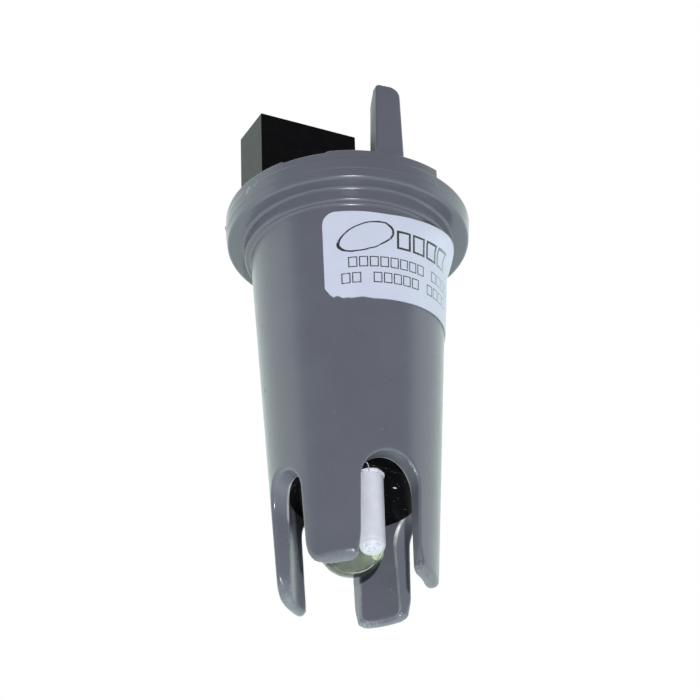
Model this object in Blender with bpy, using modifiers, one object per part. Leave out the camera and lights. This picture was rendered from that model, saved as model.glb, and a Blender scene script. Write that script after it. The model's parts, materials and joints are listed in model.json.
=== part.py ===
"""Plug-in pH electrode cartridge for a pocket tester.

The frame is in metres with +Z up. The origin is on the barrel axis, in the plane of the
four prong tips that guard the glass bulb. The key tab is on the -Y side and the connector
is shifted towards -X. The four cage slots face -Y, +X, +Y and -X.
"""
import math

import bmesh
import bpy
from mathutils import Matrix, Vector

MM = 0.001

# Clearance between pieces that sit on or in each other
GAP = 0.3 * MM

# Moulded shell, outside
TIP_RADIUS = 7.58 * MM
BARREL_TOP_RADIUS = 9.70 * MM
BARREL_HEIGHT = 38.0 * MM
STEP_WIDTH = 0.6 * MM
STEP_HEIGHT = 1.5 * MM
FLANGE_OVERHANG = 1.85 * MM
FLANGE_THICKNESS = 2.35 * MM
EDGE_ROUND = 0.35 * MM

# Moulded shell, inside: the wall at the tips, the width of the two ledges in the bore, and
# the round recess in the flange top
TIP_WALL = 1.23 * MM
PLUG_LEDGE_WIDTH = 0.65 * MM
SEAL_LEDGE_WIDTH = 0.8 * MM
RECESS_WALL = 1.15 * MM
RECESS_DEPTH = 1.45 * MM
TIP_INNER_ROUND = 0.2 * MM

# Cage slots: the mouth radii round the prong corners on the left and right of each slot,
# seen from outside
SLOT_WIDTH = 6.0 * MM
SLOT_DEPTH = 11.4 * MM
SLOT_FACES = {
    "front": (0.0, 0.6 * MM, 0.45 * MM),
    "right": (90.0, 1.0 * MM, 1.0 * MM),
    "rear": (180.0, 1.0 * MM, 0.3 * MM),
    "left": (270.0, 2.4 * MM, 1.6 * MM),
}

# Raised rim wall and key tab on the flange top; angles are measured about +Z from -Y
RIM_WALL_START = -158.4
RIM_WALL_END = 21.6
RIM_WALL_HEIGHT = 0.85 * MM
RIM_WALL_THICKNESS = 0.9 * MM
RIM_WALL_INSET = 0.1 * MM
RIM_NOTCH_START = -57.7
RIM_NOTCH_END = -35.2
RIM_NOTCH_DEPTH = 0.18 * MM
TAB_ANGLE = -5.1
TAB_INSET = 0.15 * MM
TAB_BASE_WIDTH = 3.1 * MM
TAB_TOP_WIDTH = 2.5 * MM
TAB_THICKNESS = 1.7 * MM
TAB_RISE = 9.1 * MM
TAB_LEFT_ROUND = 0.4 * MM
TAB_RIGHT_ROUND = 1.1 * MM

# End plug and chamber seal, both stepped discs that sit on a ledge in the bore
PLUG_RECESS = 10.5 * MM
PLUG_BODY_HEIGHT = 5.8 * MM
PLUG_COLLAR_HEIGHT = 2.0 * MM
SEAL_DROP = 14.4 * MM
SEAL_BODY_HEIGHT = 3.3 * MM
SEAL_COLLAR_HEIGHT = 1.7 * MM

# Glass tube with its bulb, and the wire and stopper inside it
TUBE_TURN = -4.0
TUBE_OFFSET = 1.5 * MM
TUBE_RADIUS = 2.75 * MM
GLASS_WALL = 0.5 * MM
BULB_RADIUS = 3.25 * MM
BULB_RECESS = 3.0 * MM
TUBE_ABOVE_SEAL = 2.0 * MM
STOPPER_DEPTH = 2.5 * MM
STOPPER_HEAD_HEIGHT = 1.5 * MM
WIRE_RADIUS = 0.4 * MM
WIRE_ABOVE_BULB_FLOOR = 3.5 * MM
WIRE_ABOVE_STOPPER = 1.2 * MM

# Reference side
ROD_TURN = -8.0
ROD_WALL_GAP = 0.6 * MM
ROD_RADIUS = 1.25 * MM
ROD_RECESS = 2.15 * MM
ROD_INTO_CHAMBER = 3.0 * MM
ROD_END_ROUND = 0.8 * MM
REFERENCE_WALL_GAP = 1.8 * MM
REFERENCE_ANGLE = 60.0
REFERENCE_ABOVE_PLUG = 1.7 * MM
REFERENCE_ABOVE_SEAL = 1.5 * MM

# Circuit board and its two leads
BOARD_THICKNESS = 1.6 * MM
LEAD_RADIUS = 0.35 * MM
LEAD_STUB = 0.6 * MM
LEAD_FROM_HOUSING = 1.48 * MM

# Connector: a socket block with two rows of contacts
PITCH = 2.54 * MM
CONTACT_COLUMNS = 4
CONTACT_ROWS = 2
POCKET_WIDTH = 1.6 * MM
HOUSING_END_WALL = 0.59 * MM
HOUSING_SIDE_WALL = 0.43 * MM
HOUSING_HEIGHT = 8.5 * MM
HOUSING_EDGE_GAP = 0.5 * MM
HOUSING_FLOOR = 1.0 * MM
LEAF_THICKNESS = 0.25 * MM
CONTACT_WIDTH = 0.8 * MM
CONTACT_TOP_RECESS = 1.0 * MM
CONTACT_BASE_HEIGHT = 1.0 * MM
TAIL_WIDTH = 0.4 * MM
TAIL_THICKNESS = 0.3 * MM
TAIL_BELOW_BOARD = 0.8 * MM

# Label on the barrel; angles are measured about +Z from -Y
LABEL_START = -42.5
LABEL_END = 93.0
LABEL_TOP_MARGIN = 0.7 * MM
LABEL_HEIGHT = 9.9 * MM
LABEL_THICKNESS = 0.2 * MM
LABEL_CORNER = 1.5 * MM

# Fineness of the facets
TURN_STEPS = 72
MEDIUM_TURN_STEPS = 48
SMALL_TURN_STEPS = 32
THIN_TURN_STEPS = 12
ARC_STEPS = 3
SMALL_ARC_STEPS = 2
CORNER_ARC_STEPS = 5
LONG_ARC_STEPS = 14
LEAD_STEPS = 10
LABEL_COLUMNS = 24
LABEL_ROWS = 10
SMOOTH_ANGLE = 35.0

# How far a cutter runs past the face it cuts, how far a joined piece sinks in, how far a
# slot's mouth arcs dip below the tips, and how close two points are when they are one
OVERRUN = 1.0 * MM
SINK = 0.3 * MM
MOUTH_DIP = 0.02 * MM
MERGE_DISTANCE = 0.001 * MM

# Radii and lengths that follow from the sizes above
STEP_RADIUS = BARREL_TOP_RADIUS + STEP_WIDTH
FLANGE_RADIUS = STEP_RADIUS + FLANGE_OVERHANG
CAGE_RADIUS = TIP_RADIUS - TIP_WALL
CHAMBER_RADIUS = CAGE_RADIUS + PLUG_LEDGE_WIDTH
UPPER_BORE_RADIUS = CHAMBER_RADIUS + SEAL_LEDGE_WIDTH
RECESS_RADIUS = FLANGE_RADIUS - RECESS_WALL
RIM_OUTER_RADIUS = FLANGE_RADIUS - RIM_WALL_INSET
RIM_INNER_RADIUS = RIM_OUTER_RADIUS - RIM_WALL_THICKNESS
TAB_FACE = RIM_OUTER_RADIUS - TAB_INSET
ROD_OFFSET = CAGE_RADIUS - ROD_WALL_GAP - ROD_RADIUS
REFERENCE_OFFSET = CHAMBER_RADIUS - REFERENCE_WALL_GAP - WIRE_RADIUS
HOUSING_LENGTH = PITCH * (CONTACT_COLUMNS - 1) + POCKET_WIDTH + 2 * HOUSING_END_WALL
HOUSING_WIDTH = PITCH * (CONTACT_ROWS - 1) + POCKET_WIDTH + 2 * HOUSING_SIDE_WALL
HOUSING_OFFSET = RECESS_RADIUS - HOUSING_EDGE_GAP - HOUSING_LENGTH / 2

# Heights that follow from the sizes above
FLANGE_UNDERSIDE = BARREL_HEIGHT + STEP_HEIGHT
FLANGE_TOP = FLANGE_UNDERSIDE + FLANGE_THICKNESS
RECESS_FLOOR = FLANGE_TOP - RECESS_DEPTH
PLUG_LEDGE = PLUG_RECESS + PLUG_BODY_HEIGHT - GAP
PLUG_TOP = PLUG_RECESS + PLUG_BODY_HEIGHT + PLUG_COLLAR_HEIGHT
SEAL_BASE = RECESS_FLOOR - SEAL_DROP
SEAL_LEDGE = SEAL_BASE + SEAL_BODY_HEIGHT - GAP
SEAL_TOP = SEAL_BASE + SEAL_BODY_HEIGHT + SEAL_COLLAR_HEIGHT
BOARD_BOTTOM = RECESS_FLOOR + GAP
BOARD_TOP = BOARD_BOTTOM + BOARD_THICKNESS
HOUSING_BOTTOM = BOARD_TOP + GAP
HOUSING_TOP = HOUSING_BOTTOM + HOUSING_HEIGHT
TUBE_TOP = SEAL_TOP + TUBE_ABOVE_SEAL
RIM_TOP = FLANGE_TOP + RIM_WALL_HEIGHT
LABEL_BOTTOM = BARREL_HEIGHT - LABEL_TOP_MARGIN - LABEL_HEIGHT


def barrel_radius(height):
    """Outer radius of the tapered barrel at a height above the tips."""
    share = height / BARREL_HEIGHT
    return TIP_RADIUS + (BARREL_TOP_RADIUS - TIP_RADIUS) * share


def around(radius, degrees):
    """Point at a radius and an angle about +Z, where zero is the -Y side."""
    angle = math.radians(degrees)
    return Vector((radius * math.sin(angle), -radius * math.cos(angle)))


TUBE_CENTRE = around(-TUBE_OFFSET, TUBE_TURN)
ROD_CENTRE = around(ROD_OFFSET, ROD_TURN)
REFERENCE_CENTRE = around(REFERENCE_OFFSET, REFERENCE_ANGLE)
HOUSING_CENTRE = Vector((-HOUSING_OFFSET, 0.0))


def clear_scene():
    for item in list(bpy.data.objects):
        bpy.data.objects.remove(item, do_unlink=True)


def new_collection(name):
    collection = bpy.data.collections.new(name)
    bpy.context.scene.collection.children.link(collection)
    return collection


def material(name, colour, roughness, metallic=0.0, transmission=0.0):
    surface = bpy.data.materials.new(name)
    surface.use_nodes = True
    shader = surface.node_tree.nodes["Principled BSDF"]
    shader.inputs["Base Color"].default_value = (*colour, 1.0)
    shader.inputs["Roughness"].default_value = roughness
    shader.inputs["Metallic"].default_value = metallic
    shader.inputs["Transmission Weight"].default_value = transmission
    surface.diffuse_color = (*colour, 1.0)
    return surface


def add_mesh_object(name, mesh, collection, surface=None):
    item = bpy.data.objects.new(name, mesh)
    collection.objects.link(item)
    if surface is not None:
        mesh.materials.append(surface)
    return item


def arc(centre_x, centre_y, radius, start, end, steps=ARC_STEPS):
    """Points on an arc from one angle to another, both ends included, in degrees."""
    result = []
    for index in range(steps + 1):
        angle = math.radians(start + (end - start) * index / steps)
        result.append((centre_x + radius * math.cos(angle), centre_y + radius * math.sin(angle)))
    return result


def turned(name, profile, collection, surface, steps=TURN_STEPS, closed=False):
    """Solid of revolution about Z from a profile of (radius, height) points.

    The profile runs down the outer side. An open profile starts and ends on the axis.
    """
    mesh = bpy.data.meshes.new(name)
    count = len(profile)
    edges = [(index, index + 1) for index in range(count - 1)]
    if closed:
        edges.append((count - 1, 0))
    mesh.from_pydata([(radius, 0.0, height) for radius, height in profile], edges, [])
    item = add_mesh_object(name, mesh, collection, surface)
    screw = item.modifiers.new("turn", "SCREW")
    screw.axis = "Z"
    screw.angle = math.tau
    screw.steps = steps
    screw.render_steps = steps
    screw.use_merge_vertices = True
    screw.merge_threshold = MERGE_DISTANCE
    screw.use_smooth_shade = False
    return item


def shade_round(item):
    """Keep the mesh that the modifiers make, shaded smooth up to an edge angle."""
    graph = bpy.context.evaluated_depsgraph_get()
    mesh = bpy.data.meshes.new_from_object(item.evaluated_get(graph))
    item.modifiers.clear()
    item.data = mesh
    mesh.shade_smooth()
    mesh.set_sharp_from_angle(angle=math.radians(SMOOTH_ANGLE))


def prism(name, outline, depth, collection, surface=None):
    """Flat outline in local X and Y, made solid over a depth along local Z."""
    curve = bpy.data.curves.new(name, "CURVE")
    curve.dimensions = "2D"
    curve.fill_mode = "BOTH"
    curve.extrude = depth / 2
    spline = curve.splines.new("POLY")
    spline.points.add(len(outline) - 1)
    for point, (x, y) in zip(spline.points, outline):
        point.co = (x, y, 0.0, 1.0)
    spline.use_cyclic_u = True
    guide = bpy.data.objects.new(name + "_outline", curve)
    collection.objects.link(guide)
    graph = bpy.context.evaluated_depsgraph_get()
    mesh = bpy.data.meshes.new_from_object(guide.evaluated_get(graph))
    work = bmesh.new()
    work.from_mesh(mesh)
    bmesh.ops.remove_doubles(work, verts=work.verts, dist=MERGE_DISTANCE)
    bmesh.ops.recalc_face_normals(work, faces=work.faces)
    work.to_mesh(mesh)
    work.free()
    item = add_mesh_object(name, mesh, collection, surface)
    item.matrix_world = guide.matrix_world
    bpy.data.objects.remove(guide, do_unlink=True)
    return item


def placed_blocks(name, blocks, collection, surface=None):
    """Separate boxes in one object, each given by its centre and its size."""
    mesh = bpy.data.meshes.new(name)
    work = bmesh.new()
    for centre, size in blocks:
        matrix = Matrix.LocRotScale(Vector(centre), None, Vector(size))
        bmesh.ops.create_cube(work, size=1.0, matrix=matrix)
    work.to_mesh(mesh)
    work.free()
    return add_mesh_object(name, mesh, collection, surface)


def placed_rods(name, rods, collection, surface=None, segments=SMALL_TURN_STEPS):
    """Separate upright cylinders in one object, each given by centre, radius and height."""
    mesh = bpy.data.meshes.new(name)
    work = bmesh.new()
    for centre, radius, height in rods:
        bmesh.ops.create_cone(
            work, cap_ends=True, segments=segments, radius1=radius, radius2=radius,
            depth=height, matrix=Matrix.Translation(Vector(centre)))
    work.to_mesh(mesh)
    work.free()
    return add_mesh_object(name, mesh, collection, surface)


def boolean(item, cutter, operation="DIFFERENCE"):
    cutter.hide_render = True
    cutter.display_type = "WIRE"
    modifier = item.modifiers.new(operation.lower() + "_" + cutter.name, "BOOLEAN")
    modifier.operation = operation
    modifier.solver = "EXACT"
    modifier.object = cutter
    return modifier


def shell_profile():
    """Section of the moulded shell, down the outside and back up the bore."""
    rim = EDGE_ROUND
    tip = TIP_INNER_ROUND
    points = []
    points += arc(FLANGE_RADIUS - rim, FLANGE_TOP - rim, rim, 90, 0)
    points += arc(FLANGE_RADIUS - rim, FLANGE_UNDERSIDE + rim, rim, 0, -90)
    points += [(STEP_RADIUS, FLANGE_UNDERSIDE)]
    points += arc(STEP_RADIUS - tip, BARREL_HEIGHT + tip, tip, 0, -90, SMALL_ARC_STEPS)
    points += [(BARREL_TOP_RADIUS, BARREL_HEIGHT)]
    points += arc(TIP_RADIUS - rim, rim, rim, 0, -90)
    points += arc(CAGE_RADIUS + tip, tip, tip, -90, -180, SMALL_ARC_STEPS)
    points += [(CAGE_RADIUS, PLUG_LEDGE), (CHAMBER_RADIUS, PLUG_LEDGE)]
    points += [(CHAMBER_RADIUS, SEAL_LEDGE), (UPPER_BORE_RADIUS, SEAL_LEDGE)]
    points += [(UPPER_BORE_RADIUS, RECESS_FLOOR), (RECESS_RADIUS, RECESS_FLOOR)]
    points += [(RECESS_RADIUS, FLANGE_TOP)]
    return points


def slot_outline(left_round, right_round):
    """Arched slot with a flared mouth, which leaves each prong corner rounded."""
    half = SLOT_WIDTH / 2
    spring = SLOT_DEPTH - half
    points = [(-half - left_round, -OVERRUN)]
    points += arc(-half - left_round, left_round - MOUTH_DIP, left_round, -90, 0,
                  CORNER_ARC_STEPS)
    points += arc(0.0, spring, half, 180, 0, LONG_ARC_STEPS)
    points += arc(half + right_round, right_round - MOUTH_DIP, right_round, 180, 270,
                  CORNER_ARC_STEPS)
    points += [(half + right_round, -OVERRUN)]
    return points


def add_slot_cutters(cutters):
    """One cutter for each slot, reaching from inside the cage to past the barrel."""
    reach = barrel_radius(SLOT_DEPTH) + OVERRUN
    inner = SLOT_WIDTH / 2 + OVERRUN
    result = []
    for name, (turn, left_round, right_round) in SLOT_FACES.items():
        outline = slot_outline(left_round, right_round)
        cutter = prism("slot_" + name, outline, reach - inner, cutters)
        upright = Matrix.Rotation(math.radians(90), 4, "X")
        outward = Matrix.Translation((0.0, -(reach + inner) / 2, 0.0))
        cutter.matrix_world = Matrix.Rotation(math.radians(turn), 4, "Z") @ outward @ upright
        result.append(cutter)
    return result


def ring_sector(outer_radius, inner_radius, start, end):
    """Outline of part of a flat ring between two angles."""
    steps = max(2, round((end - start) * TURN_STEPS / 360))
    turn = (end - start) / steps
    outer = [around(outer_radius, start + turn * index) for index in range(steps + 1)]
    inner = [around(inner_radius, end - turn * index) for index in range(steps + 1)]
    return [tuple(point) for point in outer + inner]


def add_rim_wall(cutters):
    """Low curved wall on the flange top, joined to the shell."""
    outline = ring_sector(RIM_OUTER_RADIUS, RIM_INNER_RADIUS, RIM_WALL_START, RIM_WALL_END)
    height = RIM_WALL_HEIGHT + SINK
    wall = prism("rim_wall", outline, height, cutters)
    wall.location.z = RIM_TOP - height / 2
    return wall


def add_rim_notch(cutters):
    """Shallow dip in the top of the rim wall."""
    outline = ring_sector(RIM_OUTER_RADIUS + OVERRUN, RIM_INNER_RADIUS - OVERRUN,
                          RIM_NOTCH_START, RIM_NOTCH_END)
    height = RIM_NOTCH_DEPTH + OVERRUN
    notch = prism("rim_notch", outline, height, cutters)
    notch.location.z = RIM_TOP - RIM_NOTCH_DEPTH + height / 2
    return notch


def tab_outline(bottom, top):
    """Front view of the key tab: a tapered blade with two round top corners."""
    base = TAB_BASE_WIDTH / 2
    tip = TAB_TOP_WIDTH / 2
    left = TAB_LEFT_ROUND
    right = TAB_RIGHT_ROUND
    points = [(-base, bottom), (base, bottom)]
    points += arc(tip - right, top - right, right, 0, 90, CORNER_ARC_STEPS)
    points += arc(-tip + left, top - left, left, 90, 180, CORNER_ARC_STEPS)
    return points


def add_key_tab(cutters):
    """Key blade that rises from the recess floor, close behind the face of the rim wall."""
    blade = prism("key_tab", tab_outline(RECESS_FLOOR - SINK, FLANGE_TOP + TAB_RISE),
                  TAB_THICKNESS, cutters)
    upright = Matrix.Rotation(math.radians(90), 4, "X")
    outward = Matrix.Translation((0.0, -TAB_FACE + TAB_THICKNESS / 2, 0.0))
    turn = Matrix.Rotation(math.radians(TAB_ANGLE), 4, "Z")
    blade.matrix_world = turn @ outward @ upright
    return blade


def add_tail_relief(cutters):
    """Pocket in the recess floor that keeps the contact tails clear of the shell."""
    spots = contact_positions()
    low_x = min(spot.x for spot in spots) - TAIL_WIDTH / 2 - GAP
    side_y = max(spot.y for spot in spots) + TAIL_THICKNESS / 2 + GAP
    floor = BOARD_BOTTOM - TAIL_BELOW_BOARD - GAP
    top = RECESS_FLOOR + OVERRUN
    return placed_blocks("tail_relief", [
        ((low_x / 2, 0.0, (floor + top) / 2), (-low_x, 2 * side_y, top - floor))], cutters)


def build_shell(parts, cutters, surface):
    shell = turned("body_shell", shell_profile(), parts, surface, closed=True)
    boolean(shell, add_rim_wall(cutters), "UNION")
    boolean(shell, add_rim_notch(cutters))
    boolean(shell, add_key_tab(cutters), "UNION")
    boolean(shell, add_tail_relief(cutters))
    for cutter in add_slot_cutters(cutters):
        boolean(shell, cutter)
    return shell


def stepped_disc(name, body_radius, collar_radius, base, body_height, collar_height,
                 parts, surface):
    """Disc whose wider collar sits on a ledge of the bore."""
    shoulder = base + body_height
    profile = [(0.0, shoulder + collar_height), (collar_radius, shoulder + collar_height),
               (collar_radius, shoulder), (body_radius, shoulder), (body_radius, base),
               (0.0, base)]
    return turned(name, profile, parts, surface, steps=MEDIUM_TURN_STEPS)


def build_end_plug(parts, cutters, surface):
    """Plug that closes the chamber, bored for the glass tube and grooved for the rod."""
    plug = stepped_disc("end_plug", CAGE_RADIUS - GAP, CHAMBER_RADIUS - GAP, PLUG_RECESS,
                        PLUG_BODY_HEIGHT, PLUG_COLLAR_HEIGHT, parts, surface)
    middle = (PLUG_RECESS + PLUG_TOP) / 2
    length = PLUG_TOP - PLUG_RECESS + 2 * OVERRUN
    tube = placed_rods("plug_tube_bore", [((*TUBE_CENTRE, middle), TUBE_RADIUS + GAP, length)],
                       cutters)
    rod = placed_rods("plug_rod_bore", [((*ROD_CENTRE, middle), ROD_RADIUS + GAP, length)],
                      cutters)
    boolean(plug, tube)
    boolean(plug, rod)
    groove_depth = CAGE_RADIUS - ROD_OFFSET + OVERRUN
    groove_height = PLUG_BODY_HEIGHT + OVERRUN
    groove = placed_blocks(
        "plug_rod_groove",
        [((0.0, -ROD_OFFSET - groove_depth / 2, PLUG_RECESS - OVERRUN + groove_height / 2),
          (2 * (ROD_RADIUS + GAP), groove_depth, groove_height))], cutters)
    groove.rotation_euler.z = math.radians(ROD_TURN)
    boolean(plug, groove)
    return plug


def build_chamber_seal(parts, cutters, surface):
    seal = stepped_disc("chamber_seal", CHAMBER_RADIUS - GAP, UPPER_BORE_RADIUS - GAP,
                        SEAL_BASE, SEAL_BODY_HEIGHT, SEAL_COLLAR_HEIGHT, parts, surface)
    middle = (SEAL_BASE + SEAL_TOP) / 2
    length = SEAL_TOP - SEAL_BASE + 2 * OVERRUN
    bores = placed_rods("seal_bores", [
        ((*TUBE_CENTRE, middle), TUBE_RADIUS + GAP, length),
        ((*REFERENCE_CENTRE, middle), WIRE_RADIUS + GAP, length)], cutters)
    boolean(seal, bores)
    return seal


def glass_profile():
    """Two runs of the wall, outside and inside, that meet at the mouth of the tube."""
    centre = BULB_RECESS + BULB_RADIUS
    inner_bulb = BULB_RADIUS - GLASS_WALL
    inner_tube = TUBE_RADIUS - GLASS_WALL
    outer_neck = math.degrees(math.acos(TUBE_RADIUS / BULB_RADIUS))
    inner_neck = math.degrees(math.acos(inner_tube / inner_bulb))
    inside = arc(0.0, centre, inner_bulb, -90, inner_neck, LONG_ARC_STEPS)
    outside = arc(0.0, centre, BULB_RADIUS, outer_neck, -90, LONG_ARC_STEPS)
    return inside + [(inner_tube, TUBE_TOP), (TUBE_RADIUS, TUBE_TOP)] + outside


def build_glass_tube(parts, surface):
    """Tube with a blown bulb below and an open mouth above."""
    tube = turned("glass_tube", glass_profile(), parts, surface, steps=MEDIUM_TURN_STEPS)
    tube.location = (*TUBE_CENTRE, 0.0)
    return tube


def build_stopper(parts, cutters, surface):
    """Stopper in the mouth of the glass tube, with a head that covers its rim."""
    body_radius = TUBE_RADIUS - GLASS_WALL - GAP
    head_base = TUBE_TOP + GAP
    base = TUBE_TOP - STOPPER_DEPTH
    top = head_base + STOPPER_HEAD_HEIGHT
    stopper = turned("tube_stopper", [
        (0.0, top), (TUBE_RADIUS, top), (TUBE_RADIUS, head_base), (body_radius, head_base),
        (body_radius, base), (0.0, base)], parts, surface, steps=SMALL_TURN_STEPS)
    stopper.location = (*TUBE_CENTRE, 0.0)
    bore = placed_rods("stopper_bore", [
        ((*TUBE_CENTRE, (base + top) / 2), WIRE_RADIUS + GAP, top - base + 2 * OVERRUN)], cutters)
    boolean(stopper, bore)
    return stopper


def wire_spans():
    """Centre, lower end and upper end of each silver wire."""
    stopper_top = TUBE_TOP + GAP + STOPPER_HEAD_HEIGHT
    return {
        "bulb_wire": (TUBE_CENTRE, BULB_RECESS + GLASS_WALL + WIRE_ABOVE_BULB_FLOOR,
                      stopper_top + WIRE_ABOVE_STOPPER),
        "reference_wire": (REFERENCE_CENTRE, PLUG_TOP + REFERENCE_ABOVE_PLUG,
                           SEAL_TOP + REFERENCE_ABOVE_SEAL),
    }


def build_wires(parts, surface):
    """The two silver wires: one in the glass tube and one in the reference chamber."""
    return [placed_rods(name, [((*centre, (low + high) / 2), WIRE_RADIUS, high - low)],
                        parts, surface, segments=THIN_TURN_STEPS)
            for name, (centre, low, high) in wire_spans().items()]


def build_rod(parts, surface):
    """Porous junction rod, from the chamber down to its free rounded end."""
    top = PLUG_TOP + ROD_INTO_CHAMBER
    profile = [(0.0, top), (ROD_RADIUS, top)]
    profile += arc(ROD_RADIUS - ROD_END_ROUND, ROD_RECESS + ROD_END_ROUND, ROD_END_ROUND, 0, -90)
    profile += [(0.0, ROD_RECESS)]
    rod = turned("junction_rod", profile, parts, surface, steps=SMALL_TURN_STEPS)
    rod.location = (*ROD_CENTRE, 0.0)
    return rod


def contact_positions():
    """Centres of the contacts, row by row."""
    first_x = HOUSING_CENTRE.x - PITCH * (CONTACT_COLUMNS - 1) / 2
    first_y = HOUSING_CENTRE.y - PITCH * (CONTACT_ROWS - 1) / 2
    return [Vector((first_x + PITCH * column, first_y + PITCH * row))
            for row in range(CONTACT_ROWS) for column in range(CONTACT_COLUMNS)]


def lead_holes():
    """Places where the two leads pass through the board, just outside the connector."""
    beside = HOUSING_CENTRE.x + HOUSING_LENGTH / 2 + LEAD_FROM_HOUSING
    return {"bulb_wire": Vector((beside, PITCH / 2)), "reference_wire": Vector((beside, -PITCH / 2))}


def build_board(parts, cutters, surface):
    """Round board in the flange recess, notched around the key tab."""
    middle = (BOARD_BOTTOM + BOARD_TOP) / 2
    board = placed_rods("circuit_board", [((0.0, 0.0, middle), RECESS_RADIUS - GAP,
                                           BOARD_THICKNESS)], parts, surface, TURN_STEPS)
    tail_bore = math.hypot(TAIL_WIDTH, TAIL_THICKNESS) / 2 + GAP
    depth = BOARD_THICKNESS + 2 * OVERRUN
    rods = [((*spot, middle), tail_bore, depth) for spot in contact_positions()]
    rods += [((*spot, middle), LEAD_RADIUS + GAP, depth) for spot in lead_holes().values()]
    boolean(board, placed_rods("board_holes", rods, cutters, segments=THIN_TURN_STEPS))
    notch_depth = TAB_THICKNESS + GAP + OVERRUN
    notch = placed_blocks("board_notch", [
        ((0.0, -TAB_FACE - OVERRUN + notch_depth / 2, middle),
         (TAB_BASE_WIDTH + 2 * GAP, notch_depth, depth))], cutters)
    notch.rotation_euler.z = math.radians(TAB_ANGLE)
    boolean(board, notch)
    return board


def build_housing(parts, cutters, surface):
    """Socket block with one square pocket for each contact and a slit below it."""
    housing = placed_blocks("connector_housing", [
        ((*HOUSING_CENTRE, (HOUSING_BOTTOM + HOUSING_TOP) / 2),
         (HOUSING_LENGTH, HOUSING_WIDTH, HOUSING_HEIGHT))], parts, surface)
    pocket_floor = HOUSING_BOTTOM + HOUSING_FLOOR
    pocket_height = HOUSING_TOP - pocket_floor + OVERRUN
    pockets = [((*spot, pocket_floor + pocket_height / 2),
                (POCKET_WIDTH, POCKET_WIDTH, pocket_height)) for spot in contact_positions()]
    boolean(housing, placed_blocks("housing_pockets", pockets, cutters))
    slit_height = HOUSING_FLOOR + 2 * SINK
    slits = [((*spot, HOUSING_BOTTOM + HOUSING_FLOOR / 2),
              (TAIL_WIDTH + 2 * GAP, TAIL_THICKNESS + 2 * GAP, slit_height))
             for spot in contact_positions()]
    boolean(housing, placed_blocks("housing_slits", slits, cutters))
    return housing


def contact_outline():
    """Side view of a fork contact: two leaves on a base."""
    half = POCKET_WIDTH / 2 - GAP
    inner = half - LEAF_THICKNESS
    top = HOUSING_TOP - CONTACT_TOP_RECESS
    base = HOUSING_BOTTOM + HOUSING_FLOOR + GAP
    crotch = base + CONTACT_BASE_HEIGHT
    return [(-half, top), (-inner, top), (-inner, crotch), (inner, crotch), (inner, top),
            (half, top), (half, base), (-half, base)]


def build_contacts(parts, cutters, surface):
    """Eight fork contacts, each with a slim tail through the housing floor and the board."""
    foot = BOARD_BOTTOM - TAIL_BELOW_BOARD
    tail_top = HOUSING_BOTTOM + HOUSING_FLOOR + GAP + SINK
    for number, spot in enumerate(contact_positions(), start=1):
        contact = prism(f"contact_{number}", contact_outline(), CONTACT_WIDTH, parts, surface)
        upright = Matrix.Rotation(math.radians(90), 4, "X")
        contact.matrix_world = Matrix.Translation((*spot, 0.0)) @ upright
        tail = placed_blocks(f"contact_{number}_tail", [
            ((*spot, (foot + tail_top) / 2), (TAIL_WIDTH, TAIL_THICKNESS, tail_top - foot))],
            cutters)
        boolean(contact, tail, "UNION")


def build_lead(name, wire, parts, surface):
    """Insulated lead from the top of a wire, in a smooth sweep, up through the board."""
    centre, _, wire_top = wire_spans()[wire]
    hole = lead_holes()[wire]
    low = Vector((*centre, wire_top + GAP))
    high = Vector((*hole, BOARD_TOP + LEAD_STUB))
    bend_end = BOARD_BOTTOM - LEAD_STUB
    curve = bpy.data.curves.new(name, "CURVE")
    curve.dimensions = "3D"
    curve.bevel_depth = LEAD_RADIUS
    curve.bevel_resolution = 2
    curve.use_fill_caps = True
    points = [low]
    for index in range(LEAD_STEPS + 1):
        share = index / LEAD_STEPS
        blend = share * share * (3 - 2 * share)
        flat = Vector(low.xy).lerp(hole, blend)
        points.append(Vector((*flat, low.z + LEAD_STUB + (bend_end - low.z - LEAD_STUB) * share)))
    points.append(high)
    spline = curve.splines.new("POLY")
    spline.points.add(len(points) - 1)
    for point, place in zip(spline.points, points):
        point.co = (*place, 1.0)
    lead = bpy.data.objects.new(name, curve)
    parts.objects.link(lead)
    curve.materials.append(surface)
    return lead


def build_label(parts, surface):
    """Thin skin around part of the barrel, a clearance away from it."""
    mean_radius = barrel_radius(LABEL_BOTTOM + LABEL_HEIGHT / 2)
    half_length = math.radians(LABEL_END - LABEL_START) / 2 * mean_radius
    middle = (LABEL_START + LABEL_END) / 2
    work = bmesh.new()
    grid = []
    for row in range(LABEL_ROWS + 1):
        height = LABEL_HEIGHT * (0.5 - 0.5 * math.cos(math.pi * row / LABEL_ROWS))
        from_edge = min(height, LABEL_HEIGHT - height)
        inset = 0.0
        if from_edge < LABEL_CORNER:
            inset = LABEL_CORNER - math.sqrt(LABEL_CORNER ** 2 - (LABEL_CORNER - from_edge) ** 2)
        line = []
        for column in range(LABEL_COLUMNS + 1):
            along = (half_length - inset) * (2 * column / LABEL_COLUMNS - 1)
            angle = middle + math.degrees(along / mean_radius)
            spot = around(barrel_radius(LABEL_BOTTOM + height) + GAP, angle)
            line.append(work.verts.new((*spot, LABEL_BOTTOM + height)))
        grid.append(line)
    for row in range(LABEL_ROWS):
        for column in range(LABEL_COLUMNS):
            work.faces.new((grid[row][column], grid[row][column + 1],
                            grid[row + 1][column + 1], grid[row + 1][column]))
    mesh = bpy.data.meshes.new("label")
    work.to_mesh(mesh)
    work.free()
    label = add_mesh_object("label", mesh, parts, surface)
    thicken = label.modifiers.new("thickness", "SOLIDIFY")
    thicken.thickness = LABEL_THICKNESS
    thicken.offset = 1.0
    return label


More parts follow.
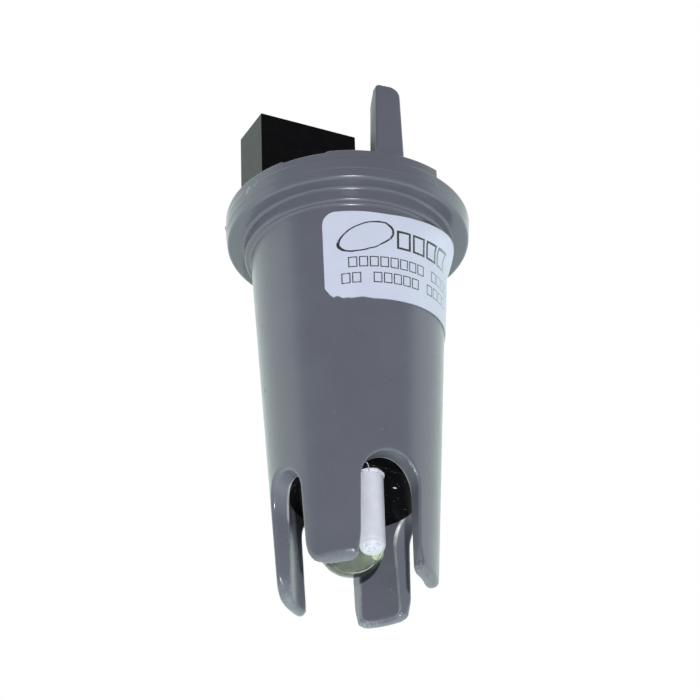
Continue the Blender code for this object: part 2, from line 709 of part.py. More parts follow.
def main():
    clear_scene()
    parts = new_collection("ph_electrode")
    cutters = new_collection("cutters")
    grey = material("grey_plastic", (0.135, 0.14, 0.17), 0.28)
    black = material("black_plastic", (0.012, 0.012, 0.014), 0.3)
    rubber = material("seal_rubber", (0.03, 0.03, 0.03), 0.7)
    glass = material("glass", (0.82, 0.88, 0.82), 0.03, transmission=0.9)
    silver = material("silver", (0.75, 0.75, 0.73), 0.3, metallic=1.0)
    gold = material("gold_plate", (0.85, 0.62, 0.25), 0.25, metallic=1.0)
    white = material("porous_white", (0.62, 0.63, 0.7), 0.5)
    board = material("board_green", (0.02, 0.12, 0.05), 0.45)
    lead = material("lead_insulation", (0.5, 0.04, 0.03), 0.45)
    paper = material("label_paper", (0.7, 0.7, 0.76), 0.5)
    round_pieces = [
        build_shell(parts, cutters, grey),
        build_end_plug(parts, cutters, black),
        build_chamber_seal(parts, cutters, rubber),
        build_glass_tube(parts, glass),
        build_stopper(parts, cutters, rubber),
        build_rod(parts, white),
        build_board(parts, cutters, board),
        build_label(parts, paper),
    ]
    round_pieces += build_wires(parts, silver)
    build_housing(parts, cutters, black)
    build_contacts(parts, cutters, gold)
    build_lead("bulb_lead", "bulb_wire", parts, lead)
    build_lead("reference_lead", "reference_wire", parts, lead)
    for piece in round_pieces:
        shade_round(piece)


main()
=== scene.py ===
"""Looks of the plug-in pH electrode cartridge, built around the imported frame.

Shapes are worked out in millimetres and turned into metres when a mesh is made. Angles are
degrees about +Z from the -Y side, positive towards +X.
"""
import json
import math

import bmesh
import bpy
import numpy as np
from mathutils import Matrix, Vector

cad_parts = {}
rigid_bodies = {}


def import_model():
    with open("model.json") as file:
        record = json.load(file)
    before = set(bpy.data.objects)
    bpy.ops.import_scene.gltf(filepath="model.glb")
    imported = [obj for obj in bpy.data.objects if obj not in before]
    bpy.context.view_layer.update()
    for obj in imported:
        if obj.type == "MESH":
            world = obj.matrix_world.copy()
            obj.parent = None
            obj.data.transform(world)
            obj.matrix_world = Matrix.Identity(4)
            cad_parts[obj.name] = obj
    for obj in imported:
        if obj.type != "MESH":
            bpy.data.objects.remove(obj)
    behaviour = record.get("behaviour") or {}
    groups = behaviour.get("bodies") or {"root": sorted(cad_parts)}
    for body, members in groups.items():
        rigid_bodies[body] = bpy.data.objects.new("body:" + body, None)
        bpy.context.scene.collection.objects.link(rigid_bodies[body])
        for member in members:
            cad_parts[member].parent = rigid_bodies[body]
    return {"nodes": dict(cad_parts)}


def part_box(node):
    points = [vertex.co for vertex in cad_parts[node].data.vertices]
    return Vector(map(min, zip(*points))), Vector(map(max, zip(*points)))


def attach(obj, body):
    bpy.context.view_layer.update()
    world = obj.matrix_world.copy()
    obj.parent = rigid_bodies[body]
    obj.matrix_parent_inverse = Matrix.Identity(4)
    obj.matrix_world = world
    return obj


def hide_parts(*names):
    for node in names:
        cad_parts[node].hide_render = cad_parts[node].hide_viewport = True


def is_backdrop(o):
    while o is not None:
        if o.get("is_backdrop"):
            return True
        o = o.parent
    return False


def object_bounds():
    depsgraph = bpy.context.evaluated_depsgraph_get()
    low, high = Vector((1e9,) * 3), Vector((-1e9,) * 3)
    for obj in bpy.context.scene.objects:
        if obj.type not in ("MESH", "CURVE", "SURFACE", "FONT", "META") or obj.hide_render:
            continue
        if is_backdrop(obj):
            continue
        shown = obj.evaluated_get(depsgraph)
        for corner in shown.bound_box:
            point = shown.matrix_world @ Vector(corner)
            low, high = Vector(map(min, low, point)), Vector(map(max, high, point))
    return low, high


MM = 0.001
CUT_FIELD = "cut_field"

# Camera, from the photograph's perspective: it looks up at the part from below
CAMERA_TARGET = Vector((0.0, 0.0, 26.0)) * MM
CAMERA_AIM = Vector((-0.353, -0.449, 26.894)) * MM
CAMERA_AZIMUTH = -26.710
CAMERA_ELEVATION = -32.070
CAMERA_ROLL = -1.694
CAMERA_DISTANCE = 381.36 * MM
CAMERA_LENS = 200.69
CAMERA_SENSOR = 36.0
CAMERA_NEAR = 10.0 * MM

# Lamp beside the camera
KEY_SIZE = 9.0 * MM
KEY_POWER = 1.25
KEY_RIGHT = 28.0 * MM
KEY_UP = 75.0 * MM

# Surroundings: how squarely a direction faces the photographer where the dim side starts and is
# full, and how far down it points where the dim side starts and ends to weaken
BACK_COLOUR = (1.19, 1.34, 1.28)
DIM_COLOUR = (0.13, 0.13, 0.14)
DIM_AZIMUTH = -21.0
DIM_EDGE = (0.12, 0.34)
BELOW_EDGE = (-0.45, -0.9)
BELOW_SHARE = 0.55
FLOOR_RADIUS = 400.0 * MM
FLOOR_FADE = (0.9 * FLOOR_RADIUS, 0.12 * FLOOR_RADIUS)
FLOOR_DROP = 0.05 * MM

# Rubbed places on the grey plastic, then a painted glint on the front arch's edge: centre, reach,
# turn, grain and strength
GREY_SCUFFS_AND_GLINT = (
    ((-11.85, -2.4, 41.6), (0.8, 0.35, 2.3), (78.0, 0.0, -13.0), 0.9, 0.55),
    ((-5.6, 3.7, 0.7), (2.4, 1.8, 1.1), (25.0, 30.0, 0.0), 0.3, 0.14),
    ((4.0, 6.0, 0.25), (1.7, 1.7, 0.5), (0.0, 0.0, -35.0), 0.3, 0.35),
    ((-4.0, -6.5, 0.6), (1.0, 0.5, 0.3), (0.0, 0.0, 25.0), 0.25, 0.12),
    # painted glint along the front slot's outer arch edge
    ((2.26, -7.63, 10.28), (0.85, 0.22, 0.22), (0.0, 49.6, 15.2), 0.45, 1.0),
)
STREAK_STRETCH = (0.35, 1.0, 2.5)
GREY_SPECK = (-8.59, 1.73, 21.42)
GREY_SPECK_REACH = (0.5, 0.6, 0.28)

# Painted highlight along the cage's inner edges, strongest under the arches, and painted shade on
# the tab's left side
EDGE_HIGHLIGHT_OFFSET = 0.04
EDGE_HIGHLIGHT_FADE = (0.12, 0.07)
EDGE_HIGHLIGHT_WIDER = (7.0, 8.6)
EDGE_HIGHLIGHT_ARCH = (7.9, 9.2)
CUT_EDGE = (0.14, 0.05)
# Painted light from below: lighter prong tips over this span of height
TIP_PAINTED_LIGHT = (0.8, 0.35)
TAB_SHADE_EDGE = (-2.7, -2.85)
TAB_SHADE_HEIGHT = (43.0, 43.3)
TAB_SHADE_SLOPE = 0.0105

# Moulded shell
TIP_RADIUS = 7.58
BARREL_TOP_RADIUS = 9.70
BARREL_HEIGHT = 38.0
BARREL_SLOPE = (BARREL_TOP_RADIUS - TIP_RADIUS) / BARREL_HEIGHT
STEP_RADIUS = 10.3
FLANGE_UNDERSIDE = 39.5
FLANGE_TOP = 41.85
CAGE_RADIUS = 6.35
CHAMBER_RADIUS = 7.0
UPPER_BORE_RADIUS = 7.8
RECESS_RADIUS = 11.0
RECESS_FLOOR = 40.4
PLUG_LEDGE = 16.0
SEAL_LEDGE = 29.0
JOIN_OVERLAP = 0.6
FLANGE_DRAFT = 0.16
FLANGE_LOW_ROUND = 0.3
FLANGE_TOP_ROUND = 0.2
STEP_ROUND = 0.26
CORNER_FILLET = 0.32
INNER_ROUND = 0.17
TIP_INNER_ROUND = 0.4
TIP_INNER_FADE = (1.1, 0.3)
SLOT_EDGE_ROUND = 0.3
TIP_EDGE_ROUND = 0.9
TIP_EDGE_FADE = (2.6, 0.4)
SLOT_WIDTH = 6.0
SLOT_DEPTH = 11.4
SLOT_REACH = 4.6
# Each slot: its direction, then for its left and its right side, seen from outside, the mouth
# round, the round of the outer edge, and how far the side leans in at the tip plane, and last
# how far its roof drops towards the inside
SLOTS = (
    (0.0, (0.6, 0.3, 0.0), (0.45, 0.25, 0.0), 0.0),
    (90.0, (1.0, 0.5, 0.0), (1.0, 0.4, 0.38), 0.0),
    (180.0, (1.0, 0.4, 0.0), (0.7, 0.4, 0.38), 0.0),
    (270.0, (2.4, 0.45, 0.0), (1.6, 0.45, 0.0), 0.35),
)
LEAN_HEIGHT = 8.0
ROOF_DROP_START = 0.4
ROOF_DROP_REACH = 1.5
# Chips along the slot sides near the tips: depth, and waves per height and per way out
TIP_CHIPS = ((0.05, 7.0, 0.0), (0.03, 19.0, 5.0))
CHIP_HEIGHT = 0.4
CHIP_REACH = 0.5
# Knocks on the flange: angle, height, depth (a burr where it is negative), half width
FLANGE_MARKS = ((-75.5, 41.95, 0.16, 0.7), (-80.0, 41.75, 0.1, 0.4), (-114.0, 41.8, -0.13, 0.22))
MARK_HALF_HEIGHT = 0.35
RIM_WALL_SPAN = (-158.4, 21.6)
RIM_WALL_TOP = 42.7
RIM_WALL_OUTER = 12.11
RIM_WALL_INNER = 11.15
RIM_WALL_ROOT = 1.2
RIM_TOP_ROUND = 0.14
RIM_END_ROUND = 0.3
RIM_FILLET = 0.03
RIM_NOTCH = (-57.7, -35.2)
RIM_NOTCH_DEPTH = 0.18
RIM_NOTCH_EDGE = 0.12
RIM_BUMP_TURN = 2.0
RIM_BUMP_HEIGHT = 0.04
TAB_ANGLE = -5.1
TAB_FACE = 11.9
TAB_THICKNESS = 1.7
TAB_BASE_WIDTH = 3.1
TAB_TOP_WIDTH = 2.5
TAB_LEFT_ROUND = 0.4
TAB_RIGHT_ROUND = 1.1
TAB_EDGE_ROUND = 0.16
TAB_THINNING = 0.85
TAB_THIN_HEIGHT = 2.0
TAB_ROOT = 0.3
TAB_FILLET = 0.1

# Grid of the shell's mesh: spans of (start, end, step), and turn steps, finer along the slots'
# sides and the tab
GRID_RADII = ((5.9, 8.5, 0.13), (8.5, 9.9, 0.2), (9.9, 12.5, 0.12))
GRID_HEIGHTS = ((-0.3, 3.0, 0.12), (3.0, 12.2, 0.26), (12.2, 36.8, 0.85), (36.8, 37.8, 0.25),
                (37.8, 43.0, 0.09), (43.0, 49.4, 0.4), (49.4, 51.4, 0.12))
TURN_UNIT = 0.15
TURN_STEP = 2.3
FINE_TURN_STEP = 0.7
SLOT_SIDE_TURN = 23.0
SLOT_SIDE_BAND = 4.0
TAB_BAND = 8.6

# Label, whose upper right lifts off: each fade has the values where it starts and is full
LABEL_RADIUS = 9.4
LABEL_START = -41.4
LABEL_END = 93.0
LABEL_LOW = 27.35
LABEL_LOW_RISE = (1.3, (-30.0, 70.0))
LABEL_HIGH = 37.05
LABEL_HIGH_RISE = (0.65, (-8.0, 28.0))
LABEL_HIGH_FALL = (0.5, (44.0, 84.0))
LABEL_GAP = 0.03
LABEL_LIFT = (0.88, (15.0, 45.0))
LABEL_LIFT_LOSS = (0.6, (46.0, 74.0))
LABEL_LIFT_HEIGHT = (35.1, 37.6)
LABEL_THICKNESS = 0.1
LABEL_CORNER = 1.35
# Lower edge at the torn corner: angle, and how far it rises there
LABEL_TEAR = (
    (-41.6, 1.6), (-41.2, 1.15), (-40.2, 0.95), (-38.4, 0.5), (-36.5, 0.2), (-34.6, 0.32),
    (-33.2, 0.28), (-30.6, 0.02), (-28.5, 0.1), (-25.3, 0.03), (-18.7, 0.16), (-12.0, 0.0),
)
LABEL_CREASE = ((-3.1, -8.7, 28.9), (0.8, 0.8, 0.12), (0.0, 55.0, 0.0))
# Print on the label, laid out along its middle line and up: the oval's centre, radii and tilt,
# then the rows of blank cells with their start, pitch, cell width, bottom, top, count, half
# stroke and the places left empty
PRINT_SLOPE = 0.1
LABEL_OVAL = ((-2.56, 34.32), (2.92, 1.36), 25.2)
LABEL_ROWS = (
    (0.6, 1.85, 1.35, 33.5, 35.35, 4, 0.12, ()),
    (-4.37, 1.05, 0.78, 31.2, 32.25, 13, 0.055, (8,)),
    (-5.07, 1.05, 0.78, 29.45, 30.5, 13, 0.055, (2, 8)),
)
PRINT_FADE = (5.0, 7.0)

# Glass tube, end plug, junction rod and circuit board
GLASS_WALL = 0.5
TUBE_RADIUS = 2.75
NECK_FILLET = 1.2
LIQUID_RISE = 11.0
LIQUID_OVERLAP = 0.02
BULB_SEAM = 5.1
BULB_SEAM_WIRE = 0.035
# Painted refraction line: a fine ring about an axis that points nearly at the camera, standing in
# for a light line seen through the bulb
BULB_REFRACTION_LINE_AXIS = (-0.289, -0.863, -0.446)
BULB_REFRACTION_LINE_OFFSET = 1.65
BULB_REFRACTION_LINE_WIRE = 0.04
PLUG_EDGE_ROUND = 0.12
PLUG_LEDGE_GAP = 0.3
PLUG_FACE_GAP = 0.02
PLUG_TUBE_GAP = 0.03
PLUG_ROD_GAP = 0.01
# Painted highlight: a small white dome on the plug's face that stands in for a glint
PLUG_GLINT_SPOT = (2.59, -3.24)
PLUG_GLINT_RADIUS = 0.05
PLUG_GLINT_STRETCH = (4.4, 2.0)
ROD_END_ROUND = 0.8
ROD_END_FLAT = 0.3
# Fine groove where the rod's round ends, as steps in and up, and the mesh rows above it
ROD_GROOVE = ((0.03, 0.84), (0.03, 0.88), (0.0, 0.94))
ROD_ROWS_START = 1.2
ROD_ROW = 1.5
ROD_PORES = (2.95, 2.35)
# Frayed collar of the rod: its section as steps out and up, and waves of size, count and phase
COLLAR_SECTION = ((0.0, 0.42), (0.13, 0.3), (0.15, 0.05), (0.1, -0.25), (0.0, -0.4))
COLLAR_WAVES = ((0.16, 3, 1.0), (0.12, 7, 0.0), (0.08, 17, 2.0))
THREAD_RADIUS = 0.03
THREAD_ROUTE = (
    (-0.98, -0.72, -0.25), (-1.5, -1.2, -0.45), (-1.79, -1.55, -0.35), (-1.6, -1.82, 0.0),
    (-1.38, -2.0, 0.1), (-1.1, -1.93, -0.2), (-0.95, -1.7, -0.5), (-0.6, -1.1, -0.3),
)
CONTACTS = [f"contact_{number}" for number in range(1, 9)]
POCKET_WIDTH = 1.6
POCKET_FLOOR = 1.0
BLOCK_EDGE = 0.07
BOARD_TRACES = (2.2, 3.8, 5.4)
TRACE_HALF_WIDTH = 0.16
TRACE_HALF_LENGTH = 6.5


def fade(value, start, end):
    """Smooth step from 0 at the start to 1 at the end."""
    share = np.clip((value - start) / (end - start), 0.0, 1.0)
    return share * share * (3.0 - 2.0 * share)


def round_and(one, other, radius):
    """Common part of two distance fields, with a rounded edge."""
    inside = np.minimum(np.maximum(one, other), -radius)
    return inside + np.hypot(np.maximum(one + radius, 0.0), np.maximum(other + radius, 0.0))


def round_or(one, other, radius):
    """Union of two distance fields, with a filleted corner."""
    outside = np.maximum(np.minimum(one, other), radius)
    return outside - np.hypot(np.maximum(radius - one, 0.0), np.maximum(radius - other, 0.0))


def turned_frame(x, y, degrees):
    """Coordinates along and out from a face at an angle about +Z."""
    angle = math.radians(degrees)
    return x * math.cos(angle) + y * math.sin(angle), x * math.sin(angle) - y * math.cos(angle)


def arc_gap(x, y, start, end):
    """Distance along the rim from a sector, negative inside it."""
    middle = (start + end) / 2
    half = math.radians(end - start) / 2
    along, out = turned_frame(x, y, middle)
    return (np.abs(np.arctan2(along, out)) - half) * np.hypot(x, y)


def prong_fields(x, y, z):
    """Distance field outside the cage slots and above the tip plane, and its outer edge round."""
    result = -z
    edge = np.full(np.shape(result), SLOT_EDGE_ROUND)
    inside = np.clip((TIP_RADIUS + ROOF_DROP_START - np.hypot(x, y)) / ROOF_DROP_REACH, 0.0, 1.0)
    for degrees, left, right, drop in SLOTS:
        along, out = turned_frame(x, y, degrees)
        spring = SLOT_DEPTH - SLOT_WIDTH / 2 - drop * inside
        mouth, _, lean = (np.where(along > 0, one, other) for one, other in zip(right, left))
        half = SLOT_WIDTH / 2 - lean * np.clip(1.0 - z / LEAN_HEIGHT, 0.0, 1.0)
        side = np.where(z > spring, np.hypot(along, np.maximum(z - spring, 0.0)), np.abs(along))
        chip = sum(depth * np.sin(up * z + across * out) for depth, up, across in TIP_CHIPS)
        wall = half - side + np.exp(-((z - CHIP_HEIGHT) / CHIP_REACH) ** 2) * chip
        cut = round_and(wall, -z, mouth)
        near = (out > 0) & (cut > result)
        result = np.where(near, cut, result)
        blend = left[1] + (right[1] - left[1]) * fade(along, -SLOT_WIDTH / 2, SLOT_WIDTH / 2)
        edge = np.where((out > 0) & (np.abs(along) < SLOT_REACH), blend, edge)
    return result, edge + (TIP_EDGE_ROUND - edge) * fade(z, *TIP_EDGE_FADE)


def tab_field(x, y, z, top):
    """Distance field of the upright key tab."""
    along, out = turned_frame(x, y, TAB_ANGLE)
    bottom = RECESS_FLOOR - TAB_ROOT
    share = (z - bottom) / (top - bottom)
    half = TAB_BASE_WIDTH / 2 + (TAB_TOP_WIDTH - TAB_BASE_WIDTH) / 2 * share
    corner = np.where(along > 0, TAB_RIGHT_ROUND, TAB_LEFT_ROUND)
    blade = np.maximum(round_and(np.abs(along) - half, z - top, corner), bottom - z)
    thickness = TAB_THICKNESS - TAB_THINNING * fade(z, top - TAB_THIN_HEIGHT, top)
    depth = np.maximum(out - TAB_FACE, TAB_FACE - thickness - out)
    return round_and(blade, depth, TAB_EDGE_ROUND)


def shell_field(x, y, z, flange_radius, tab_top):
    """Distance field of the moulded shell."""
    radius = np.hypot(x, y)
    joined_top = FLANGE_UNDERSIDE + JOIN_OVERLAP
    barrel = (radius - TIP_RADIUS - BARREL_SLOPE * z) * math.cos(math.atan(BARREL_SLOPE))
    body = np.maximum(barrel, z - joined_top)
    step = round_and(radius - STEP_RADIUS, BARREL_HEIGHT - z, STEP_ROUND)
    step = np.maximum(step, z - joined_top)
    draft = FLANGE_DRAFT * (FLANGE_TOP - z) / (FLANGE_TOP - FLANGE_UNDERSIDE)
    flange = round_and(radius - flange_radius + draft, FLANGE_UNDERSIDE - z, FLANGE_LOW_ROUND)
    flange = round_and(flange, z - FLANGE_TOP, FLANGE_TOP_ROUND)
    for degrees, height, depth, wide in FLANGE_MARKS:
        along, out = turned_frame(x, y, degrees)
        spread = (along / wide) ** 2 + ((z - height) / MARK_HALF_HEIGHT) ** 2
        flange = flange + np.where(out > 0, depth * np.exp(-spread), 0.0)
    outer = round_or(round_or(body, step, CORNER_FILLET), flange, CORNER_FILLET)

    notch = fade(arc_gap(x, y, *RIM_NOTCH), 0.0, -RIM_NOTCH_EDGE)
    beside = arc_gap(x, y, RIM_NOTCH[0] - RIM_BUMP_TURN, RIM_NOTCH[0])
    bump = np.exp(-(beside / RIM_NOTCH_EDGE) ** 2)
    wall_top = RIM_WALL_TOP - RIM_NOTCH_DEPTH * notch + RIM_BUMP_HEIGHT * bump
    ring = round_and(radius - RIM_WALL_OUTER, z - wall_top, RIM_TOP_ROUND)
    ring = np.maximum(ring, RIM_WALL_INNER - radius)
    wall = round_and(ring, arc_gap(x, y, *RIM_WALL_SPAN), RIM_END_ROUND)
    wall = np.maximum(wall, FLANGE_TOP - RIM_WALL_ROOT - z)
    outer = round_or(outer, wall, RIM_FILLET)

    prongs, edge = prong_fields(x, y, z)
    outer = round_and(outer, prongs, edge)
    bore = radius - CAGE_RADIUS
    for wide, ledge in ((CHAMBER_RADIUS, PLUG_LEDGE), (UPPER_BORE_RADIUS, SEAL_LEDGE),
                        (RECESS_RADIUS, RECESS_FLOOR)):
        bore = np.minimum(bore, np.maximum(radius - wide, ledge - z))
    inner_round = INNER_ROUND + (TIP_INNER_ROUND - INNER_ROUND) * fade(z, *TIP_INNER_FADE)
    shell = round_and(outer, -bore, inner_round)
    return round_or(shell, tab_field(x, y, z, tab_top), TAB_FILLET)


def spaced(spans):
    """Grid values over spans."""
    parts = []
    for start, end, step in spans:
        count = max(1, round((end - start) / step))
        parts.append(start + (end - start) * np.arange(count) / count)
    parts.append([spans[-1][1]])
    return np.concatenate(parts)


def gradient(field, points, reach=0.01):
    """Slope of a field at points, by central differences."""
    columns = []
    for shift in np.eye(3) * reach:
        columns.append((field(*(points + shift).T) - field(*(points - shift).T)) / (2 * reach))
    return np.stack(columns, axis=1)


def cell_points(values):
    """Mean crossing point of the field in each grid cell, as a fractional grid place."""
    cells = tuple(size - 1 for size in values.shape)
    count = np.zeros(cells)
    places = [np.zeros(cells) for _ in range(3)]
    halves = (slice(0, -1), slice(1, None))
    for axis, second_axis, third_axis in ((0, 1, 2), (1, 0, 2), (2, 0, 1)):
        first, second = (np.moveaxis(values, axis, 0)[half] for half in halves)
        cross = (first < 0) != (second < 0)
        share = np.where(cross, first / np.where(cross, first - second, 1.0), 0.0)
        for near, far in ((0, 0), (0, 1), (1, 0), (1, 1)):
            pick = (slice(None), halves[near], halves[far])
            part = np.moveaxis(cross[pick], 0, axis)
            count += part
            places[axis] += np.moveaxis(share[pick], 0, axis)
            places[second_axis] += near * part
            places[third_axis] += far * part
    return count, places


def net_faces(values, index):
    """Quads around each grid edge that crosses the surface; the first axis wraps round."""
    back = np.roll(index, 1, axis=0)
    inside = values < 0
    here = inside[:-1]
    along_turn = (here != inside[1:])[:, 1:-1, 1:-1]
    along_radius = (here[:, :-1] != here[:, 1:])[:, :, 1:-1]
    along_height = (here[:, :, :-1] != here[:, :, 1:])[:, 1:-1, :]
    faces = []
    for crossed, corners in (
            (along_turn,
             (index[:, :-1, :-1], index[:, 1:, :-1], index[:, 1:, 1:], index[:, :-1, 1:])),
            (along_radius,
             (back[:, :, :-1], index[:, :, :-1], index[:, :, 1:], back[:, :, 1:])),
            (along_height,
             (back[:, :-1], index[:, :-1], index[:, 1:], back[:, 1:]))):
        faces.append(np.stack([corner[crossed] for corner in corners], axis=1))
    return np.concatenate(faces)


def surface_net(field, turns, radii, heights):
    """Mesh of a field's surface on a grid of angle, radius and height, with its normals."""
    wrapped = np.append(turns, turns[0] + 360.0)
    angle, radius, height = np.meshgrid(np.radians(wrapped), radii, heights, indexing="ij")
    values = field(radius * np.sin(angle), -radius * np.cos(angle), height)
    count, places = cell_points(values)
    active = count > 0
    index = np.full(count.shape, -1)
    index[active] = np.arange(active.sum())
    cells = np.nonzero(active)
    grid = []
    for cell, place, axis in zip(cells, places, (wrapped, radii, heights)):
        grid.append(np.interp(cell + place[active] / count[active], np.arange(len(axis)), axis))
    angle = np.radians(grid[0])
    points = np.stack([grid[1] * np.sin(angle), -grid[1] * np.cos(angle), grid[2]], axis=1)
    longest_move = 0.15
    least_slope = 0.25
    for _ in range(5):
        slope = gradient(field, points)
        move = field(*points.T) / np.maximum((slope ** 2).sum(axis=1), least_slope)
        points -= np.clip(move, -longest_move, longest_move)[:, None] * slope
    normals = gradient(field, points)
    normals /= np.linalg.norm(normals, axis=1)[:, None]
    faces = net_faces(values, index)
    a, b, c, d = (points[faces[:, corner]] for corner in range(4))
    facing = np.einsum("ij,ij->i", np.cross(c - a, d - b), normals[faces[:, 0]])
    faces[facing < 0] = faces[facing < 0][:, ::-1]
    return points, faces, normals


def new_object(name, data):
    item = bpy.data.objects.new(name, data)
    bpy.context.scene.collection.objects.link(item)
    return item


def finished(work, name):
    """Mesh of a bmesh, which is freed."""
    mesh = bpy.data.meshes.new(name)
    work.to_mesh(mesh)
    work.free()
    return mesh


def finish_piece(name, data, skin):
    """Piece that shows a material and rides on the root body."""
    data.materials.append(skin.material)
    piece = new_object(name, data)
    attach(piece, "root")
    return piece


def mesh_piece(name, points, faces, skin, normals=None):
    """Smooth piece from points in millimetres."""
    mesh = bpy.data.meshes.new(name)
    mesh.from_pydata((np.asarray(points) * MM).tolist(), [], faces)
    mesh.validate()
    mesh.shade_smooth()
    if normals is not None:
        mesh.normals_split_custom_set_from_vertices(normals.tolist())
    return finish_piece(name, mesh, skin)


def turned_mesh(profile, centre, steps):
    """Points and faces of a closed turned shape whose profile starts and ends on the axis."""
    points = [(centre[0], centre[1], profile[0][1]), (centre[0], centre[1], profile[-1][1])]
    for radius, height in profile[1:-1]:
        for step in range(steps):
            angle = math.tau * step / steps
            points.append((centre[0] + radius * math.cos(angle),
                           centre[1] + radius * math.sin(angle), height))
    faces = []
    last = 2 + (len(profile) - 3) * steps
    for step in range(steps):
        after = (step + 1) % steps
        faces.append((0, 2 + after, 2 + step))
        faces.append((1, last + step, last + after))
        for low in range(2, last, steps):
            high = low + steps
            faces.append((low + step, low + after, high + after, high + step))
    return points, faces


def loop_faces(steps, count):
    """Faces of a closed loop whose section has a count of points, listed section by section."""
    faces = []
    for step in range(steps):
        here = step * count
        after = (step + 1) % steps * count
        for row in range(count):
            beside = (row + 1) % count
            faces.append((here + row, here + beside, after + beside, after + row))
    return faces


def arc(centre_x, centre_y, radius, start, end, steps):
    """Points on an arc, both ends included, in degrees."""
    angles = np.radians(np.linspace(start, end, steps + 1))
    return list(zip(centre_x + radius * np.cos(angles), centre_y + radius * np.sin(angles)))


def box_mm(node):
    low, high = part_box(node)
    return low / MM, high / MM


def stem_mm(node):
    """Middle, half width, bottom and top of a node."""
    low, high = box_mm(node)
    return (low + high) / 2, (high.x - low.x) / 2, low.z, high.z


class Graph:
    """Short ways to add nodes to a tree."""

    def __init__(self, owner):
        owner.use_nodes = True
        self.nodes = owner.node_tree.nodes
        self.links = owner.node_tree.links

    def fill(self, node, sockets):
        """Set or link inputs; an underscore in a name stands for a space."""
        for socket, value in sockets.items():
            name = socket.replace("_", " ") if isinstance(socket, str) else socket
            if isinstance(value, bpy.types.NodeSocket):
                self.links.new(value, node.inputs[name])
            else:
                node.inputs[name].default_value = value

    def add(self, kind, **sockets):
        node = self.nodes.new("ShaderNode" + kind)
        self.fill(node, sockets)
        return node

    def math(self, operation, one, other=0.0, third=0.0, clamp=False):
        node = self.add("Math")
        node.operation = operation
        node.use_clamp = clamp
        self.fill(node, {0: one, 1: other, 2: third})
        return node.outputs[0]

    def hypot(self, one, other):
        squares = self.math("MULTIPLY", one, one), self.math("MULTIPLY", other, other)
        return self.math("SQRT", self.math("ADD", *squares))

    def measure(self, operation, one, other=(0.0, 0.0, 0.0)):
        """Number that a vector operation gives."""
        node = self.add("VectorMath")
        node.operation = operation
        self.fill(node, {0: one, 1: other})
        return node.outputs["Value"]

    def ramp(self, value, low, high, to_low=0.0, to_high=1.0, kind="LINEAR"):
        """Value between two limits, spread over another range."""
        node = self.add("MapRange", Value=value, From_Min=low, From_Max=high,
                        To_Min=to_low, To_Max=to_high)
        node.interpolation_type = kind
        return node.outputs["Result"]

    def across(self, value, limits, to_low=0.0, to_high=1.0):
        """Ramp between two limits in millimetres."""
        return self.ramp(value, limits[0] * MM, limits[1] * MM, to_low, to_high)

    def split(self, vector):
        return self.add("SeparateXYZ", Vector=vector).outputs

    def mix(self, factor, one, other):
        """Mix of two colours, each a tuple or a socket."""
        node = self.add("Mix")
        node.data_type = "RGBA"
        one, other = ((*part, 1.0) if isinstance(part, tuple) else part for part in (one, other))
        self.fill(node, {0: factor, 6: one, 7: other})
        return node.outputs[2]

    def choose(self, factor, one, other):
        node = self.add("MixShader")
        self.fill(node, {0: factor, 1: one, 2: other})
        return node.outputs[0]


class Skin(Graph):
    """A material with its Principled shader, textured in the object's own coordinates."""

    def __init__(self, name, colour, roughness, **sockets):
        self.material = bpy.data.materials.new(name)
        super().__init__(self.material)
        self.shader = self.nodes["Principled BSDF"]
        self.look(Base_Color=(*colour, 1.0), Roughness=roughness, **sockets)
        self.place = self.add("TexCoord").outputs["Object"]

    def look(self, **sockets):
        self.fill(self.shader, sockets)

    def noise(self, size, detail=3.0, place=None):
        """Noise with features of a size in millimetres."""
        return self.add("TexNoise", Scale=1.0 / (size * MM), Detail=detail,
                        Vector=self.place if place is None else place).outputs["Fac"]

    def patches(self, size, detail, one, other, low=0.3, high=0.7):
        """Soft patches between two colours."""
        return self.mix(self.ramp(self.noise(size, detail), low, high), one, other)

    def stretched(self, scale, turn, centre=(0.0, 0.0, 0.0)):
        """Coordinates about a centre, turned and stretched."""
        node = self.add("Mapping")
        node.vector_type = "TEXTURE"
        self.fill(node, {"Vector": self.place, "Location": centre, "Scale": scale,
                         "Rotation": [math.radians(part) for part in turn]})
        return node.outputs["Vector"]

    def spot(self, centre, reach, turn=(0.0, 0.0, 0.0)):
        """Soft ellipsoid mask, 1 at its centre and 0 at its reach, in millimetres."""
        centre = [part * MM for part in centre]
        reach = [part * MM for part in reach]
        node = self.add("TexGradient", Vector=self.stretched(reach, turn, centre))
        node.gradient_type = "SPHERICAL"
        return node.outputs["Fac"]

    def bump(self, height, depth, strength=1.0):
        """Bump from a height between 0 and 1 and a depth in millimetres."""
        node = self.add("Bump", Strength=strength, Distance=depth * MM, Height=height)
        normal = self.shader.inputs["Normal"]
        if normal.is_linked:
            self.links.new(normal.links[0].from_socket, node.inputs["Normal"])
        self.links.new(node.outputs["Normal"], normal)


